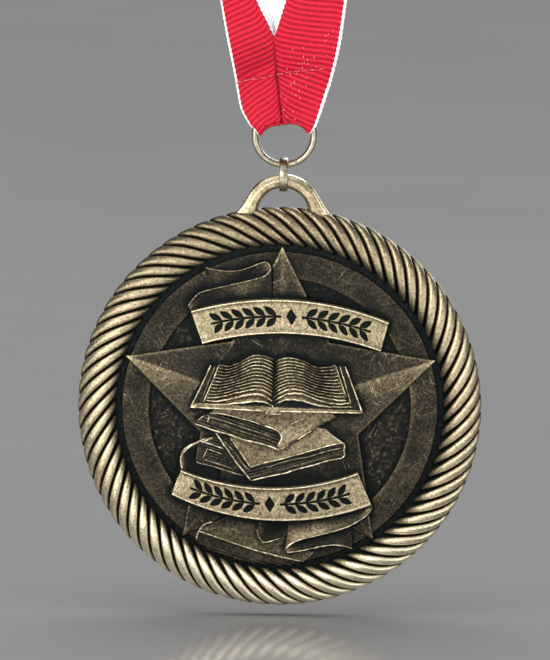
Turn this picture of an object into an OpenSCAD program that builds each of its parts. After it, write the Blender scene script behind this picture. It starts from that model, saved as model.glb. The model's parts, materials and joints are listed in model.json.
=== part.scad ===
// Academic medallion on a neck ribbon, in millimetres.
// +Z is up, the medal's face looks along -Y, and the origin is the top of the ribbon loop,
// on its inner face, where the neck or a rail holds it.

/* [Medal] */
// radius over the rope rim
rim_radius = 25.4; // [22:0.1:30]
// width of the rope rim, from its outer side to its inner side
rope_width = 4.7; // [3.8:0.05:5.6]
// thickness of the plain disc, from the flat back to the sunk field
disc_thickness = 1.5; // [1.2:0.05:2.5]
// gap between the rope and the smooth ring band
band_gap = 0.85; // [0.4:0.05:1.5]
// width of the smooth ring band
band_width = 3.4; // [2:0.05:4.5]
// height of the ring band over the field
band_height = 0.45; // [0.2:0.05:0.8]

/* [Rope rim] */
// strands counted round the rope
strands = 71; // [48:1:90]
// angle that a strand turns back on its way inwards
strand_turn = 13; // [4:0.5:20]
// height of the rope's crest over the field
rope_rise = 1.7; // [1.3:0.05:2.4]
// depth of the groove between two strands
strand_groove = 0.45; // [0.1:0.05:0.6]

/* [Star] */
// gap between the star's tips and the rope
star_gap = 0.25; // [0.1:0.05:1]
// how far out the notches between the arms lie, as a share of the tips' radius
notch_share = 0.51; // [0.42:0.01:0.56]
// height of the star's tips over the ring band
tip_rise = 0.2; // [0.1:0.05:0.4]
// height of the star's edge over the field at the notches
star_edge = 0.7; // [0.5:0.05:1]
// height of the star's middle over the field
star_peak = 1.5; // [1.1:0.05:1.8]

/* [Scrolls and books] */
// height of both scrolls over the field, in their middle
scroll_height = 1.9; // [1.4:0.05:2.4]
// how much lower a scroll lies at its ends
scroll_fall = 0.5; // [0:0.05:0.8]
// height of the open book's pages over the field
page_height = 2.1; // [1.7:0.05:2.4]
// height of the open book's cover over the field
cover_height = 1.5; // [1:0.05:1.6]
// height of the upper closed book over the field
stack_height = 1.45; // [1.1:0.05:1.8]

/* [Bail, link and ring] */
// how far the bail's centre lies inside the rope's outer side
bail_sink = 0.78; // [0.4:0.02:1.2]
// radius of the bail's eye
bail_eye_radius = 3.17; // [2.8:0.01:4]
// width of the bail's band, from the eye outwards
bail_band = 1.73; // [1.4:0.01:2]
// depth of the bail's band, front to back
bail_depth = 1.84; // [1.4:0.02:2]
// radial thickness of the link's flat wire
link_thickness = 0.36; // [0.3:0.02:0.5]
// width of the link's flat wire
link_width = 1.04; // [0.6:0.02:1.4]
// free play between the bail and the ring inside the link
link_play = 0.8; // [0.7:0.02:1.4]
// clearance between link and bail, and between link and ring
link_clearance = 0.1; // [0.08:0.01:0.2]
// wire diameter of the ribbon's ring
ring_wire = 0.81; // [0.6:0.01:1]
// radius of the ring to the middle of its wire
ring_radius = 3.67; // [3.4:0.01:4.4]

/* [Neck ribbon] */
// width of the ribbon laid flat
ribbon_width = 22; // [20:0.5:25]
// thickness of the ribbon's wall
ribbon_wall = 1; // [1:0.05:1.4]
// thickness of the bunched plies where the ribbon turns under the ring's wire
fold_bulk = 1.75; // [1.4:0.05:2]
// radius of the loop at the neck, to the middle of the wall
neck_radius = 55; // [45:0.5:65]
// lean of each strap away from the upright
strap_lean = 10.2; // [8:0.1:14]
// clearance between the ring's wire and the ribbon round it
fold_clearance = 0.15; // [0.1:0.01:0.3]
// height of the stitched crease over the top of the ring's wire
crease_rise = 4.1; // [3:0.1:6]
// half the gap between the two straps at the crease
crease_gap = 0.12; // [0.05:0.01:0.3]
// length over which the pleat opens to the full width
pleat_length = 32; // [24:0.5:45]

/* [Hidden] */
field = disc_thickness;
relief_radius = rim_radius - rope_width;
band_outer_radius = relief_radius - band_gap;
star_radius = relief_radius - star_gap;
notch_radius = notch_share * star_radius;
rope_mid_radius = rim_radius - rope_width / 2;
rope_height = field + rope_rise;
rope_foot = 0.8 * field;
// height in the casting that hangs plumb under the link, through its centre of mass
plumb_height = 0.402 * rope_height;
bail_rise = rim_radius - bail_sink;
bail_mid_radius = bail_eye_radius + bail_band / 2;
bail_outer_radius = bail_eye_radius + bail_band;
bail_centre = bail_rise + bail_mid_radius;
ring_low = bail_rise + bail_outer_radius + link_play + ring_wire / 2;
link_low = bail_rise + bail_eye_radius - link_clearance;
link_high = ring_low + ring_wire / 2 + link_clearance;
link_inner_radius = (link_high - link_low) / 2;
link_centre = (link_high + link_low) / 2;
ring_centre = ring_low + ring_radius;
wire_top = ring_centre + ring_radius;
wire_gap = ring_wire / 2 + fold_clearance;
hole_radius = ring_radius - wire_gap;
crease = wire_top + crease_rise;
strap_start = crease_gap + ribbon_wall / 2;
crease_inner = strap_start - ribbon_wall / 2 * cos(strap_lean);
half_width = ribbon_width / 2;
loop_centre = crease + (neck_radius - strap_start * cos(strap_lean)) / sin(strap_lean);
strap_length = (loop_centre - crease) * cos(strap_lean) - strap_start * sin(strap_lean);
loop_top = loop_centre + neck_radius - ribbon_wall / 2;
metal = [0.66, 0.58, 0.38];
pale_metal = [0.80, 0.76, 0.62];
cloth = [0.80, 0.07, 0.16];

// Rope rim

// samples along one strand's width: groove, flank, crest, flank
rope_samples = 4;
rope_steps = strands * rope_samples;

// columns: angle on the rope's round section, share of the groove's depth
rope_section = [
    [180, 0.0],
    [155, 0.7],
    [125, 1.0],
    [95, 1.0],
    [65, 1.0],
    [35, 0.9],
    [5, 0.35],
];

function groove_share(step) = [1, 0.3, 0, 0.3][step % rope_samples];

function rope_angle(step, across) =
    360 * step / rope_steps - strand_turn * (1 - cos(across)) / 2;

function rope_point(step, row) =
    let (
        inset = strand_groove * row[1] * groove_share(step),
        angle = rope_angle(step, row[0]),
        radius = rope_mid_radius + (rope_width / 2 - inset) * cos(row[0]),
        height = rope_foot + (rope_height - rope_foot - inset) * sin(row[0])
    )
    [radius * cos(angle), radius * sin(angle), height];

function rope_foot_point(step, across, radius) =
    let (angle = rope_angle(step, across))
    [radius * cos(angle), radius * sin(angle), 0.04 * field];

function rope_ring(step) = concat(
    [for (row = rope_section) rope_point(step, row)],
    [rope_foot_point(step, 5, rim_radius - 0.05 * rope_width)],
    [rope_foot_point(step, 180, relief_radius)]
);

// joins closed outlines of equal length into one closed tube
module closed_tube(rings) {
    size = len(rings[0]);
    count = len(rings);
    polyhedron(
        points = [for (ring = rings) each ring],
        faces = [
            for (i = [0:count - 1], j = [0:size - 1])
                let (
                    a = i * size + j,
                    b = i * size + (j + 1) % size,
                    c = ((i + 1) % count) * size + (j + 1) % size,
                    d = ((i + 1) % count) * size + j
                )
                each [[a, c, b], [a, d, c]]
        ],
        convexity = 10
    );
}

module rope_rim() {
    closed_tube([for (step = [0:rope_steps - 1]) rope_ring(step)]);
}

// Raised forms

// how deep the raised forms are rooted in the disc; the order keeps their roots apart
function root(order) = field * (0.8 - 0.006 * order);

// a raised form between an upper and a lower edge, a row for each cut across it
// columns, the first two and the next two but one as shares of the relief's radius and the
// heights as shares of the form's rise: upper x, upper y, upper height, lower x, lower y, lower height
module raised_form(rows, rise, order) {
    last = len(rows) - 1;
    polyhedron(
        points = [
            for (row = rows) each [
                [row[0] * relief_radius, row[1] * relief_radius, field + row[2] * rise],
                [row[3] * relief_radius, row[4] * relief_radius, field + row[5] * rise],
                [row[3] * relief_radius, row[4] * relief_radius, root(order)],
                [row[0] * relief_radius, row[1] * relief_radius, root(order)]
            ]
        ],
        faces = concat(
            [[0, 2, 3], [0, 1, 2]],
            [
                for (i = [0:last - 1], j = [0:3])
                    let (
                        a = i * 4 + j,
                        b = i * 4 + (j + 1) % 4,
                        c = (i + 1) * 4 + (j + 1) % 4,
                        d = (i + 1) * 4 + j
                    )
                    each [[a, c, b], [a, d, c]]
            ],
            [[last * 4, last * 4 + 2, last * 4 + 1], [last * 4, last * 4 + 3, last * 4 + 2]]
        ),
        convexity = 6
    );
}

// a flat raised form; its outline is in shares of the relief's radius
module slab(outline, rise, order) {
    translate([0, 0, root(order)])
        linear_extrude(field + rise - root(order))
            polygon(outline * relief_radius);
}

module star() {
    tips = [for (i = [0:4]) 90 + 72 * i];
    rim = [for (angle = tips) each [
        [star_radius * cos(angle), star_radius * sin(angle), field + band_height + tip_rise],
        [notch_radius * cos(angle + 36), notch_radius * sin(angle + 36), field + star_edge]
    ]];
    floor_points = [for (point = rim) [point[0], point[1], root(20)]];
    polyhedron(
        points = concat(rim, floor_points, [[0, 0, field + star_peak], [0, 0, root(20)]]),
        faces = [
            for (i = [0:9])
                let (next = (i + 1) % 10)
                each [[i, 20, next], [i, next, next + 10], [i, next + 10, i + 10], [i + 10, next + 10, 21]]
        ]
    );
}

// Scrolls

// columns, lengths as shares of the relief's radius:
// centre x, centre y, radius, angle at the left end, angle at the right end
upper_scroll_top = [-0.0174, -1.0696, 1.7473, 107.8, 67.4];
upper_scroll_low = [0.0208, -1.2053, 1.6696, 107.3, 69.5];
lower_scroll_top = [-0.0575, 1.0300, 1.5116, -110.8, -69.1];
lower_scroll_low = [0.0101, 0.8604, 1.5498, -115.3, -69.0];
scroll_steps = 10;

function arc_point(arc, share) =
    let (angle = arc[3] + (arc[4] - arc[3]) * share)
    [arc[0] + arc[2] * cos(angle), arc[1] + arc[2] * sin(angle)];

function scroll_rows(top, low) = [
    for (step = [0:scroll_steps])
        let (
            share = step / scroll_steps,
            height = 1 - scroll_fall / scroll_height * pow(2 * share - 1, 2),
            a = arc_point(top, share),
            b = arc_point(low, share)
        )
        [a[0], a[1], height, b[0], b[1], height]
];

// columns as in raised_form, from the scroll's left turn to the fold's right end
upper_fold = [
    [-0.566, 0.621, 0.684, -0.548, 0.589, 0.684],
    [-0.531, 0.671, 0.658, -0.522, 0.594, 0.526],
    [-0.478, 0.711, 0.632, -0.473, 0.604, 0.447],
    [-0.327, 0.750, 0.605, -0.324, 0.628, 0.421],
    [-0.193, 0.784, 0.579, -0.193, 0.652, 0.421],
    [-0.104, 0.813, 0.579, -0.097, 0.657, 0.447],
    [-0.064, 0.855, 0.579, -0.058, 0.657, 0.474]
];
upper_tail = [
    [-0.463, 0.856, 0.421, -0.456, 0.705, 0.289],
    [-0.427, 0.847, 0.421, -0.415, 0.710, 0.289],
    [-0.328, 0.836, 0.432, -0.327, 0.734, 0.289],
    [-0.239, 0.847, 0.447, -0.239, 0.758, 0.289],
    [-0.114, 0.894, 0.500, -0.145, 0.783, 0.316],
    [-0.083, 0.887, 0.526, -0.092, 0.802, 0.368],
    [-0.066, 0.856, 0.568, -0.067, 0.836, 0.553]
];
lower_curl = [
    [-0.601, -0.317, 0.553, -0.592, -0.384, 0.632],
    [-0.585, -0.271, 0.474, -0.546, -0.411, 0.421],
    [-0.550, -0.239, 0.421, -0.512, -0.425, 0.316],
    [-0.496, -0.215, 0.395, -0.464, -0.440, 0.289],
    [-0.452, -0.197, 0.368, -0.415, -0.454, 0.289],
    [-0.398, -0.182, 0.368, -0.357, -0.464, 0.289]
];
lower_fold = [
    [0.069, -0.671, 0.474, 0.046, -0.870, 0.553],
    [0.106, -0.671, 0.526, 0.089, -0.830, 0.579],
    [0.155, -0.667, 0.526, 0.151, -0.801, 0.579],
    [0.285, -0.647, 0.474, 0.285, -0.767, 0.579],
    [0.415, -0.623, 0.447, 0.418, -0.724, 0.579],
    [0.512, -0.599, 0.474, 0.516, -0.668, 0.589],
    [0.560, -0.585, 0.605, 0.560, -0.621, 0.605]
];
lower_tail = [
    [0.053, -0.850, 0.537, 0.058, -0.889, 0.537],
    [0.106, -0.816, 0.368, 0.152, -0.874, 0.474],
    [0.188, -0.783, 0.316, 0.242, -0.854, 0.447],
    [0.300, -0.754, 0.289, 0.331, -0.839, 0.432],
    [0.386, -0.725, 0.289, 0.402, -0.843, 0.421],
    [0.449, -0.700, 0.289, 0.457, -0.859, 0.421]
];
lower_roll = [
    [-0.101, -0.671, 0.474, -0.127, -0.752, 0.500],
    [-0.072, -0.671, 0.395, -0.111, -0.802, 0.474],
    [-0.019, -0.671, 0.368, -0.075, -0.828, 0.421],
    [0.068, -0.671, 0.342, 0.016, -0.802, 0.368]
];

module scrolls() {
    color(metal) {
        raised_form(scroll_rows(upper_scroll_top, upper_scroll_low), scroll_height, 0);
        raised_form(scroll_rows(lower_scroll_top, lower_scroll_low), scroll_height, 1);
        raised_form(upper_fold, scroll_height, 2);
        raised_form(upper_tail, scroll_height, 3);
        raised_form(lower_curl, scroll_height, 4);
        raised_form(lower_fold, scroll_height, 5);
        raised_form(lower_tail, scroll_height, 6);
        raised_form(lower_roll, scroll_height, 7);
    }
}

// Books

// columns as in raised_form, from the left fore-edge to the spine and on to the right one
page_rows = [
    [-0.380, 0.273, 0.690, -0.479, 0.030, 0.786],
    [-0.300, 0.274, 0.690, -0.382, 0.024, 0.786],
    [-0.229, 0.307, 0.833, -0.285, 0.036, 0.905],
    [-0.166, 0.336, 0.905, -0.188, 0.056, 1.000],
    [-0.113, 0.341, 0.905, -0.126, 0.060, 1.000],
    [-0.063, 0.329, 0.762, -0.072, 0.046, 0.857],
    [-0.037, 0.304, 0.643, -0.043, 0.021, 0.690],
    [-0.012, 0.321, 0.762, -0.014, 0.046, 0.857],
    [0.029, 0.336, 0.905, 0.034, 0.060, 1.000],
    [0.085, 0.331, 0.905, 0.111, 0.063, 1.000],
    [0.148, 0.305, 0.833, 0.213, 0.043, 0.905],
    [0.220, 0.275, 0.690, 0.319, 0.022, 0.786],
    [0.345, 0.282, 0.690, 0.449, 0.030, 0.786]
];
// columns as in raised_form: the open book's cover, then the upper closed book's
open_cover = [
    [-0.429, 0.267, 0.800, -0.545, 0.002, 1.000],
    [0.399, 0.274, 0.800, 0.508, -0.019, 1.000]
];
first_cover = [
    [-0.419, -0.029, 0.897, -0.029, -0.127, 1.069],
    [-0.097, -0.029, 0.931, 0.000, -0.150, 1.103],
    [0.097, -0.029, 0.931, 0.002, -0.213, 1.103],
    [0.343, -0.045, 0.862, -0.002, -0.256, 1.069]
];
// columns: x, y, as shares of the relief's radius
spine_end = [
    [-0.084, -0.035],
    [0.002, -0.035],
    [0.002, 0.019],
    [-0.084, 0.019]
];
first_pages = [
    [-0.521, -0.103],
    [-0.002, -0.256],
    [0.019, -0.145],
    [-0.029, -0.121],
    [-0.419, -0.028]
];
second_cover = [
    [-0.300, -0.175],
    [-0.162, -0.368],
    [0.400, -0.207],
    [0.282, -0.128],
    [0.097, -0.072],
    [-0.193, -0.097]
];
second_left = [
    [-0.372, -0.163],
    [-0.147, -0.444],
    [-0.155, -0.357],
    [-0.290, -0.159]
];
second_right = [
    [-0.147, -0.444],
    [0.397, -0.303],
    [0.408, -0.256],
    [0.400, -0.207],
    [-0.162, -0.357]
];
third_book = [
    [-0.496, -0.239],
    [-0.389, -0.177],
    [-0.314, -0.155],
    [-0.145, -0.415],
    [-0.197, -0.420],
    [-0.503, -0.334]
];
last_cover = [
    [-0.477, -0.759],
    [-0.388, -0.712],
    [-0.242, -0.628],
    [0.145, -0.657],
    [0.106, -0.821],
    [0.225, -0.900],
    [0.154, -0.965]
];
last_side = [
    [-0.498, -0.841],
    [-0.415, -0.891],
    [-0.169, -0.966],
    [0.077, -0.981],
    [0.154, -0.965],
    [-0.477, -0.754]
];

module books() {
    color(metal) {
        raised_form(open_cover, cover_height, 8);
        raised_form(page_rows, page_height, 9);
        slab(spine_end, 0.97 * cover_height, 10);
        raised_form(first_cover, stack_height, 11);
        slab(first_pages, 0.76 * stack_height, 12);
        slab(second_cover, 0.83 * stack_height, 13);
        slab(second_left, 0.59 * stack_height, 14);
        slab(second_right, 0.66 * stack_height, 15);
        slab(third_book, 0.55 * stack_height, 16);
        slab(last_cover, 0.52 * stack_height, 17);
        slab(last_side, 0.35 * stack_height, 18);
    }
}

// Disc and bail

module disc() {
    cylinder(h = disc_thickness, r = relief_radius + 0.28 * rope_width, $fn = 180);
    rotate_extrude($fn = 180)
        translate([band_outer_radius - band_width, root(21)])
            square([band_width, field + band_height - root(21)]);
}

// columns: share of half the band outwards, share of half the depth
bail_corners = [
    [-1.00, 0.27],
    [-0.58, 0.78],
    [0.12, 1.00],
    [1.00, 0.54],
    [1.00, -0.54],
    [0.12, -1.00],
    [-0.58, -0.78],
    [-1.00, -0.27]
];
// columns: x, y over the bail's centre, as shares of its outer radius
bail_foot = [
    [0.735, 0.000],
    [0.918, 0.449],
    [1.010, 0.224],
    [1.143, 0.071],
    [1.327, 0.000],
    [1.286, -0.184],
    [0.776, -0.245]
];

module bail() {
    translate([0, bail_rise, plumb_height]) {
        rotate_extrude(angle = 180, $fn = 96)
            polygon([for (c = bail_corners) [bail_mid_radius + c[0] * bail_band / 2, c[1] * bail_depth / 2]]);
        for (side = [0, 1])
            mirror([side, 0, 0])
                translate([0, 0, -0.38 * bail_depth])
                    linear_extrude(0.76 * bail_depth)
                        polygon(bail_foot * bail_outer_radius);
    }
}

module medal() {
    translate([0, plumb_height, -loop_top]) rotate([90, 0, 0]) {
        color(metal) disc();
        color(metal) rope_rim();
        color(metal) star();
        scrolls();
        books();
        color(metal) bail();
    }
}

// Link and ring

module connecting_link() {
    color(pale_metal) translate([0, 0, link_centre - loop_top]) rotate([0, 90, 0])
        rotate_extrude($fn = 72)
            translate([link_inner_radius, -link_width / 2]) square([link_thickness, link_width]);
}

module ribbon_ring() {
    color(pale_metal) translate([0, 0, ring_centre - loop_top]) rotate([90, 0, 0])
        rotate_extrude($fn = 96)
            translate([ring_radius, 0]) circle(r = ring_wire / 2, $fn = 24);
}

// Neck ribbon

// how far the fold drops along the ring's round wire, away from its middle
function wire_drop(x) =
    hole_radius - sqrt(pow(hole_radius, 2) - pow(min(abs(x), 0.93 * hole_radius), 2));

// where the ribbon turns under the wire
// columns: turn from the lowest point; left edge, left stripe, middle, right stripe and right
// edge as shares of the ring hole's radius; thickness at the edges and in the middle as shares
// of the bunched plies
fold_table = [
    [0, -0.883, -0.482, -0.032, 0.449, 0.867, 0.51, 1.00],
    [35, -0.883, -0.482, -0.039, 0.449, 0.867, 0.51, 0.97],
    [62, -1.027, -0.514, -0.064, 0.482, 0.947, 0.51, 0.89],
    [90, -1.429, -0.674, -0.144, 0.562, 1.188, 0.51, 0.80]
];
// the gathered stretch between the ring and the crease
// columns: height as a share of the crease's rise; how far forward the inner face lies, from the
// crease's place to the wire's; left edge, left stripe, middle, right stripe and right edge as
// shares of half the ribbon's width; depth in the middle as a share of the way back; how much of
// the bunching is left; share of the wire's drop
tab_table = [
    [0.244, 0.87, -0.473, -0.236, -0.050, 0.164, 0.382, 0.60, 0.33, 0.55],
    [0.561, 0.52, -0.527, -0.273, -0.059, 0.182, 0.427, 0.63, 0.20, 0.20],
    [0.829, 0.17, -0.555, -0.291, -0.068, 0.191, 0.464, 0.50, 0.07, 0.05]
];
// the pleat that opens above the crease
// columns: length as a share of the pleat's; left edge, left stripe, middle, right stripe and
// right edge as shares of half the ribbon's width; depth at the stripes and in the middle as
// shares of the way back
strap_table = [
    [0.000, -0.573, -0.291, -0.073, 0.200, 0.491, 0.00, 0.00],
    [0.081, -0.609, -0.264, -0.095, 0.145, 0.536, 0.42, 0.76],
    [0.175, -0.673, -0.209, -0.114, 0.000, 0.609, 0.58, 0.85],
    [0.319, -0.755, -0.350, -0.123, 0.050, 0.682, 0.57, 0.85],
    [0.500, -0.855, -0.391, -0.100, 0.145, 0.809, 0.34, 0.51],
    [0.719, -0.936, -0.373, -0.055, 0.245, 0.918, 0.12, 0.19],
    [1.000, -1.000, -0.327, 0.000, 0.327, 1.000, 0.00, 0.00]
];
neck_steps = 14;

// one cut across the ribbon: base is the inner face's middle, out is the way its face looks
function ribbon_cut(base, out, xs, depths, walls, drops) =
    let (
        inner = [
            for (k = [0:4])
                [xs[k], base[0] - out[0] * depths[k], base[1] - out[1] * depths[k] - drops[k]]
        ],
        outer = [for (k = [0:4]) inner[k] + [0, out[0], out[1]] * walls[k]]
    )
    concat(inner, [for (k = [4:-1:0]) outer[k]]);

function five(value) = [for (k = [0:4]) value];
function flat_xs() = [for (share = [-1, -0.327, 0, 0.327, 1]) share * half_width];

fold_half = [
    for (row = fold_table)
        let (
            out = [-sin(row[0]), -cos(row[0])],
            xs = [for (k = [1:5]) row[k] * hole_radius],
            mean = (row[6] + row[7]) / 2
        )
        ribbon_cut(
            [0, wire_top] + out * wire_gap, out, xs, five(0),
            [row[6], mean, row[7], mean, row[6]] * fold_bulk, [for (x = xs) wire_drop(x)]
        )
];
tab_half = [
    for (row = tab_table)
        let (
            xs = [for (k = [2:6]) row[k] * half_width],
            forward = crease_inner + row[1] * (wire_gap - crease_inner)
        )
        ribbon_cut(
            [-forward, wire_top + row[0] * crease_rise], [-1, 0], xs,
            [0, 0, row[7] * forward, 0, 0], five(ribbon_wall + row[8] * (fold_bulk - ribbon_wall)),
            [for (x = xs) row[9] * wire_drop(x)]
        )
];
strap_out = [-cos(strap_lean), -sin(strap_lean)];
strap_way = [-sin(strap_lean), cos(strap_lean)];
strap_base = [-strap_start, crease] - strap_out * ribbon_wall / 2;
pleat_half = [
    for (row = strap_table)
        let (
            along = row[0] * pleat_length,
            way_back = crease_inner + along * sin(strap_lean)
        )
        ribbon_cut(
            strap_base + strap_way * along, strap_out, [for (k = [1:5]) row[k] * half_width],
            [0, row[6], row[7], row[6], 0] * way_back, five(ribbon_wall), five(0)
        )
];
plain_half = [
    for (share = [0.25:0.25:0.75])
        ribbon_cut(
            strap_base + strap_way * (pleat_length + share * (strap_length - pleat_length)),
            strap_out, flat_xs(), five(0), five(ribbon_wall), five(0)
        )
];
neck_half = [
    for (step = [0:neck_steps])
        let (
            angle = 180 + strap_lean - (90 + strap_lean) * step / neck_steps,
            out = [cos(angle), sin(angle)]
        )
        ribbon_cut(
            [0, loop_centre] + out * (neck_radius - ribbon_wall / 2), out, flat_xs(),
            five(0), five(ribbon_wall), five(0)
        )
];
front_half = concat(fold_half, tab_half, pleat_half, plain_half, neck_half);
back_half = [
    for (i = [len(front_half) - 2:-1:1])
        [for (point = front_half[i]) [point[0], -point[1], point[2]]]
];

// the stitching that closes the two straps on each other at the crease
module seam() {
    seam_depth = 2 * crease_gap + 0.76 * ribbon_wall;
    translate([-0.42 * half_width, -seam_depth / 2, crease - 0.35 * ribbon_wall])
        cube([0.78 * half_width, seam_depth, 0.7 * ribbon_wall]);
}

module neck_ribbon() {
    color(cloth) translate([0, 0, -loop_top]) {
        closed_tube(concat(front_half, back_half));
        seam();
    }
}

medal();
connecting_link();
ribbon_ring();
neck_ribbon();
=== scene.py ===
import json
from math import cos, pi, radians, sin

import bmesh
import bpy
import numpy as np
from mathutils import Matrix, Vector, geometry
from mathutils.bvhtree import BVHTree

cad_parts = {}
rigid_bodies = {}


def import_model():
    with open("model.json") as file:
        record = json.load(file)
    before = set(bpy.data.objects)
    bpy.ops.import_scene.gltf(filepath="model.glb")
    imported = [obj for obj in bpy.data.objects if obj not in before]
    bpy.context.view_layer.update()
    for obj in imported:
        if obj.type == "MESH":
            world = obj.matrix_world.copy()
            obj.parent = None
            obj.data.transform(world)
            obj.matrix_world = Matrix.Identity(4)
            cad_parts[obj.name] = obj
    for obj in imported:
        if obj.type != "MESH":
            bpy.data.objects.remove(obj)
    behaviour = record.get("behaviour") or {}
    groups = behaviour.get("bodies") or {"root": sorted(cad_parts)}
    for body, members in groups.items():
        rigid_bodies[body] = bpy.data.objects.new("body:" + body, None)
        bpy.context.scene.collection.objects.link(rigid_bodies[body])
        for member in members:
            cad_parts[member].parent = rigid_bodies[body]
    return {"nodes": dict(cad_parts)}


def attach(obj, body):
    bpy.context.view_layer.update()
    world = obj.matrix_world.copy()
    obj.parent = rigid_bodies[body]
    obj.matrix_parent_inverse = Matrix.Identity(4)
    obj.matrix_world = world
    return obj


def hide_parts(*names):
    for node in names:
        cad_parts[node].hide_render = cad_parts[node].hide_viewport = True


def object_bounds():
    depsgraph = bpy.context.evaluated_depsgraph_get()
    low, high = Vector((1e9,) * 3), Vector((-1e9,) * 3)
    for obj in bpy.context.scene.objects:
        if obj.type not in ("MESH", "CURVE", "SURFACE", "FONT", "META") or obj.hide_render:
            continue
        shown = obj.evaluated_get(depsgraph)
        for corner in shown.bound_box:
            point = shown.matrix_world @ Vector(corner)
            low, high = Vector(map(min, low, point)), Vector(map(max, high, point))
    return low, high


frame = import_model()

cadBounds = [[float(v) for v in corner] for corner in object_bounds()]
print("frame loaded:", sorted(frame["nodes"]))

mm = 0.001
# the medal is worked flat, in mm: x to the right, y up, h out of its flat back
medalPlace = {"loopTop": 403.805, "plumb": 1.2864, "fieldHeight": 1.5, "reliefRadius": 20.7}
field, relief = medalPlace["fieldHeight"], medalPlace["reliefRadius"]
medalPieces = []


# Number helpers


def smoothStep(x, low=0.0, high=1.0):
    t = np.clip((np.asarray(x, float) - low) / (high - low), 0, 1)
    return t * t * (3 - 2 * t)


def bell(x, middle, width):
    return np.exp(-(((x - middle) / width) ** 2))


def sides(loop):
    # each corner of a closed loop with the next one
    return zip(loop, [*loop[1:], loop[0]])


def lengthAlong(points):
    return np.concatenate([[0], np.cumsum(np.linalg.norm(np.diff(points, axis=0), axis=1))])


def between(grid, i, j, s, r):
    # the value in cell i, j at the shares s and r of its width, from its four corners
    i, j, nextI, nextJ = (k % len(grid) for k in (i, j, i + 1, j + 1))
    low, high = (grid[i, k] * (1 - s) + grid[nextI, k] * s for k in (j, nextJ))
    return low * (1 - r) + high * r


def latticeNoise(x, y, size, seed):
    # a soft bumpy height from -1 to 1, patches of that size in mm
    grid = np.random.default_rng(seed).random((256, 256)) * 2 - 1
    u, v = np.asarray(x, float) / size + 97.3, np.asarray(y, float) / size + 61.7
    i, j = np.floor(u).astype(int), np.floor(v).astype(int)
    return between(grid, i, j, smoothStep(u - i), smoothStep(v - j))


def bumps(x, y, seed, *layers):
    # soft noises added up, each layer given as height and patch size
    return sum(height * latticeNoise(x, y, size, seed + k) for k, (height, size) in enumerate(layers))


def turned(profile, steps):
    # a profile carried round the middle: each point's angle, then the profile's own columns
    angle = np.repeat(2 * pi * np.arange(steps) / steps, len(profile))
    return angle, *np.tile(np.array(profile, float), (steps, 1)).T


# Mesh helpers


def standUp(points):
    # from the flat medal's x, y, h to the hanging medal, in metres
    x, y, h = np.asarray(points, float).reshape(-1, 3).T
    return np.column_stack([x, medalPlace["plumb"] - h, y - medalPlace["loopTop"]]) * mm


def flatCoordinates(obj):
    # from the hanging medal back to the flat one
    places = np.empty(len(obj.data.vertices) * 3)
    obj.data.vertices.foreach_get("co", places)
    x, y, z = places.reshape(-1, 3).T / mm
    return np.column_stack([x, z + medalPlace["loopTop"], medalPlace["plumb"] - y])


def sceneObject(name, data):
    obj = bpy.data.objects.new(name, data)
    bpy.context.scene.collection.objects.link(obj)
    return obj


def shadeSmooth(mesh):
    mesh.polygons.foreach_set("use_smooth", [True] * len(mesh.polygons))


def meshObject(name, points, faces, edges=(), material=None, **attributes):
    mesh = bpy.data.meshes.new(name)
    mesh.from_pydata([tuple(p) for p in points], list(edges), [tuple(f) for f in faces])
    for key, values in attributes.items():
        layer = mesh.attributes.new(key, "FLOAT", "POINT")
        layer.data.foreach_set("value", np.asarray(values, np.float32))
    mesh.update()
    if faces:
        shadeSmooth(mesh)
    if material:
        mesh.materials.append(material)
    return sceneObject(name, mesh)


def faceOutward(obj, weld=0.0):
    work = bmesh.new()
    work.from_mesh(obj.data)
    if weld:
        bmesh.ops.remove_doubles(work, verts=work.verts, dist=weld)
    bmesh.ops.recalc_face_normals(work, faces=work.faces)
    work.to_mesh(obj.data)
    work.free()


def medalPiece(name, material, *parts, weld=0.0):
    # parts are (points as x, y, h, faces, wear and painted light) and become one mesh
    points, faces, wear = [], [], []
    for partPoints, partFaces, partWearAndPaintedLight in parts:
        start = len(points)
        faces += [[i + start for i in face] for face in partFaces]
        wear += np.broadcast_to(np.asarray(partWearAndPaintedLight, float), (len(partPoints),)).tolist()
        points += [list(p) for p in partPoints]
    obj = meshObject(name, standUp(points), faces, material=material, wear=wear)
    faceOutward(obj, weld)
    medalPieces.append(obj)


def gridFaces(rows, columns, closedRows=False, closedColumns=False, flip=False):
    faces = []
    for i in range(rows if closedRows else rows - 1):
        for j in range(columns if closedColumns else columns - 1):
            a, b = i * columns + j, i * columns + (j + 1) % columns
            d, c = ((i + 1) % rows) * columns + j, ((i + 1) % rows) * columns + (j + 1) % columns
            faces.append([a, d, c, b] if flip else [a, b, c, d])
    return faces


def splineThrough(points, count):
    # a smooth line through the points, count points evenly spread by length
    p = np.asarray(points, float)
    padded = np.vstack([2 * p[0] - p[1], p, 2 * p[-1] - p[-2]])
    t = np.linspace(0, 1, 24, endpoint=False)[:, None]
    pieces = []
    for a, b, c, d in zip(padded, padded[1:], padded[2:], padded[3:]):
        square, cube = 2 * a - 5 * b + 4 * c - d, 3 * b - a - 3 * c + d
        pieces.append(0.5 * (2 * b + (c - a) * t + square * t**2 + cube * t**3))
    dense = np.vstack(pieces + [p[-1:]])
    along = lengthAlong(dense)
    at = np.linspace(0, along[-1], count)
    return np.stack([np.interp(at, along, column) for column in dense.T], axis=1)


def spanned(first, second, share):
    # rows that each run straight from one line's point to the other line's
    return first[:, None] * (1 - share[:, None]) + second[:, None] * share[:, None]


def segmentDistance(points, a, b):
    d = b - a
    t = np.clip(((points - a) @ d) / max(float(d @ d), 1e-12), 0, 1)
    return np.linalg.norm(points - a - t[:, None] * d, axis=1)


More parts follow.
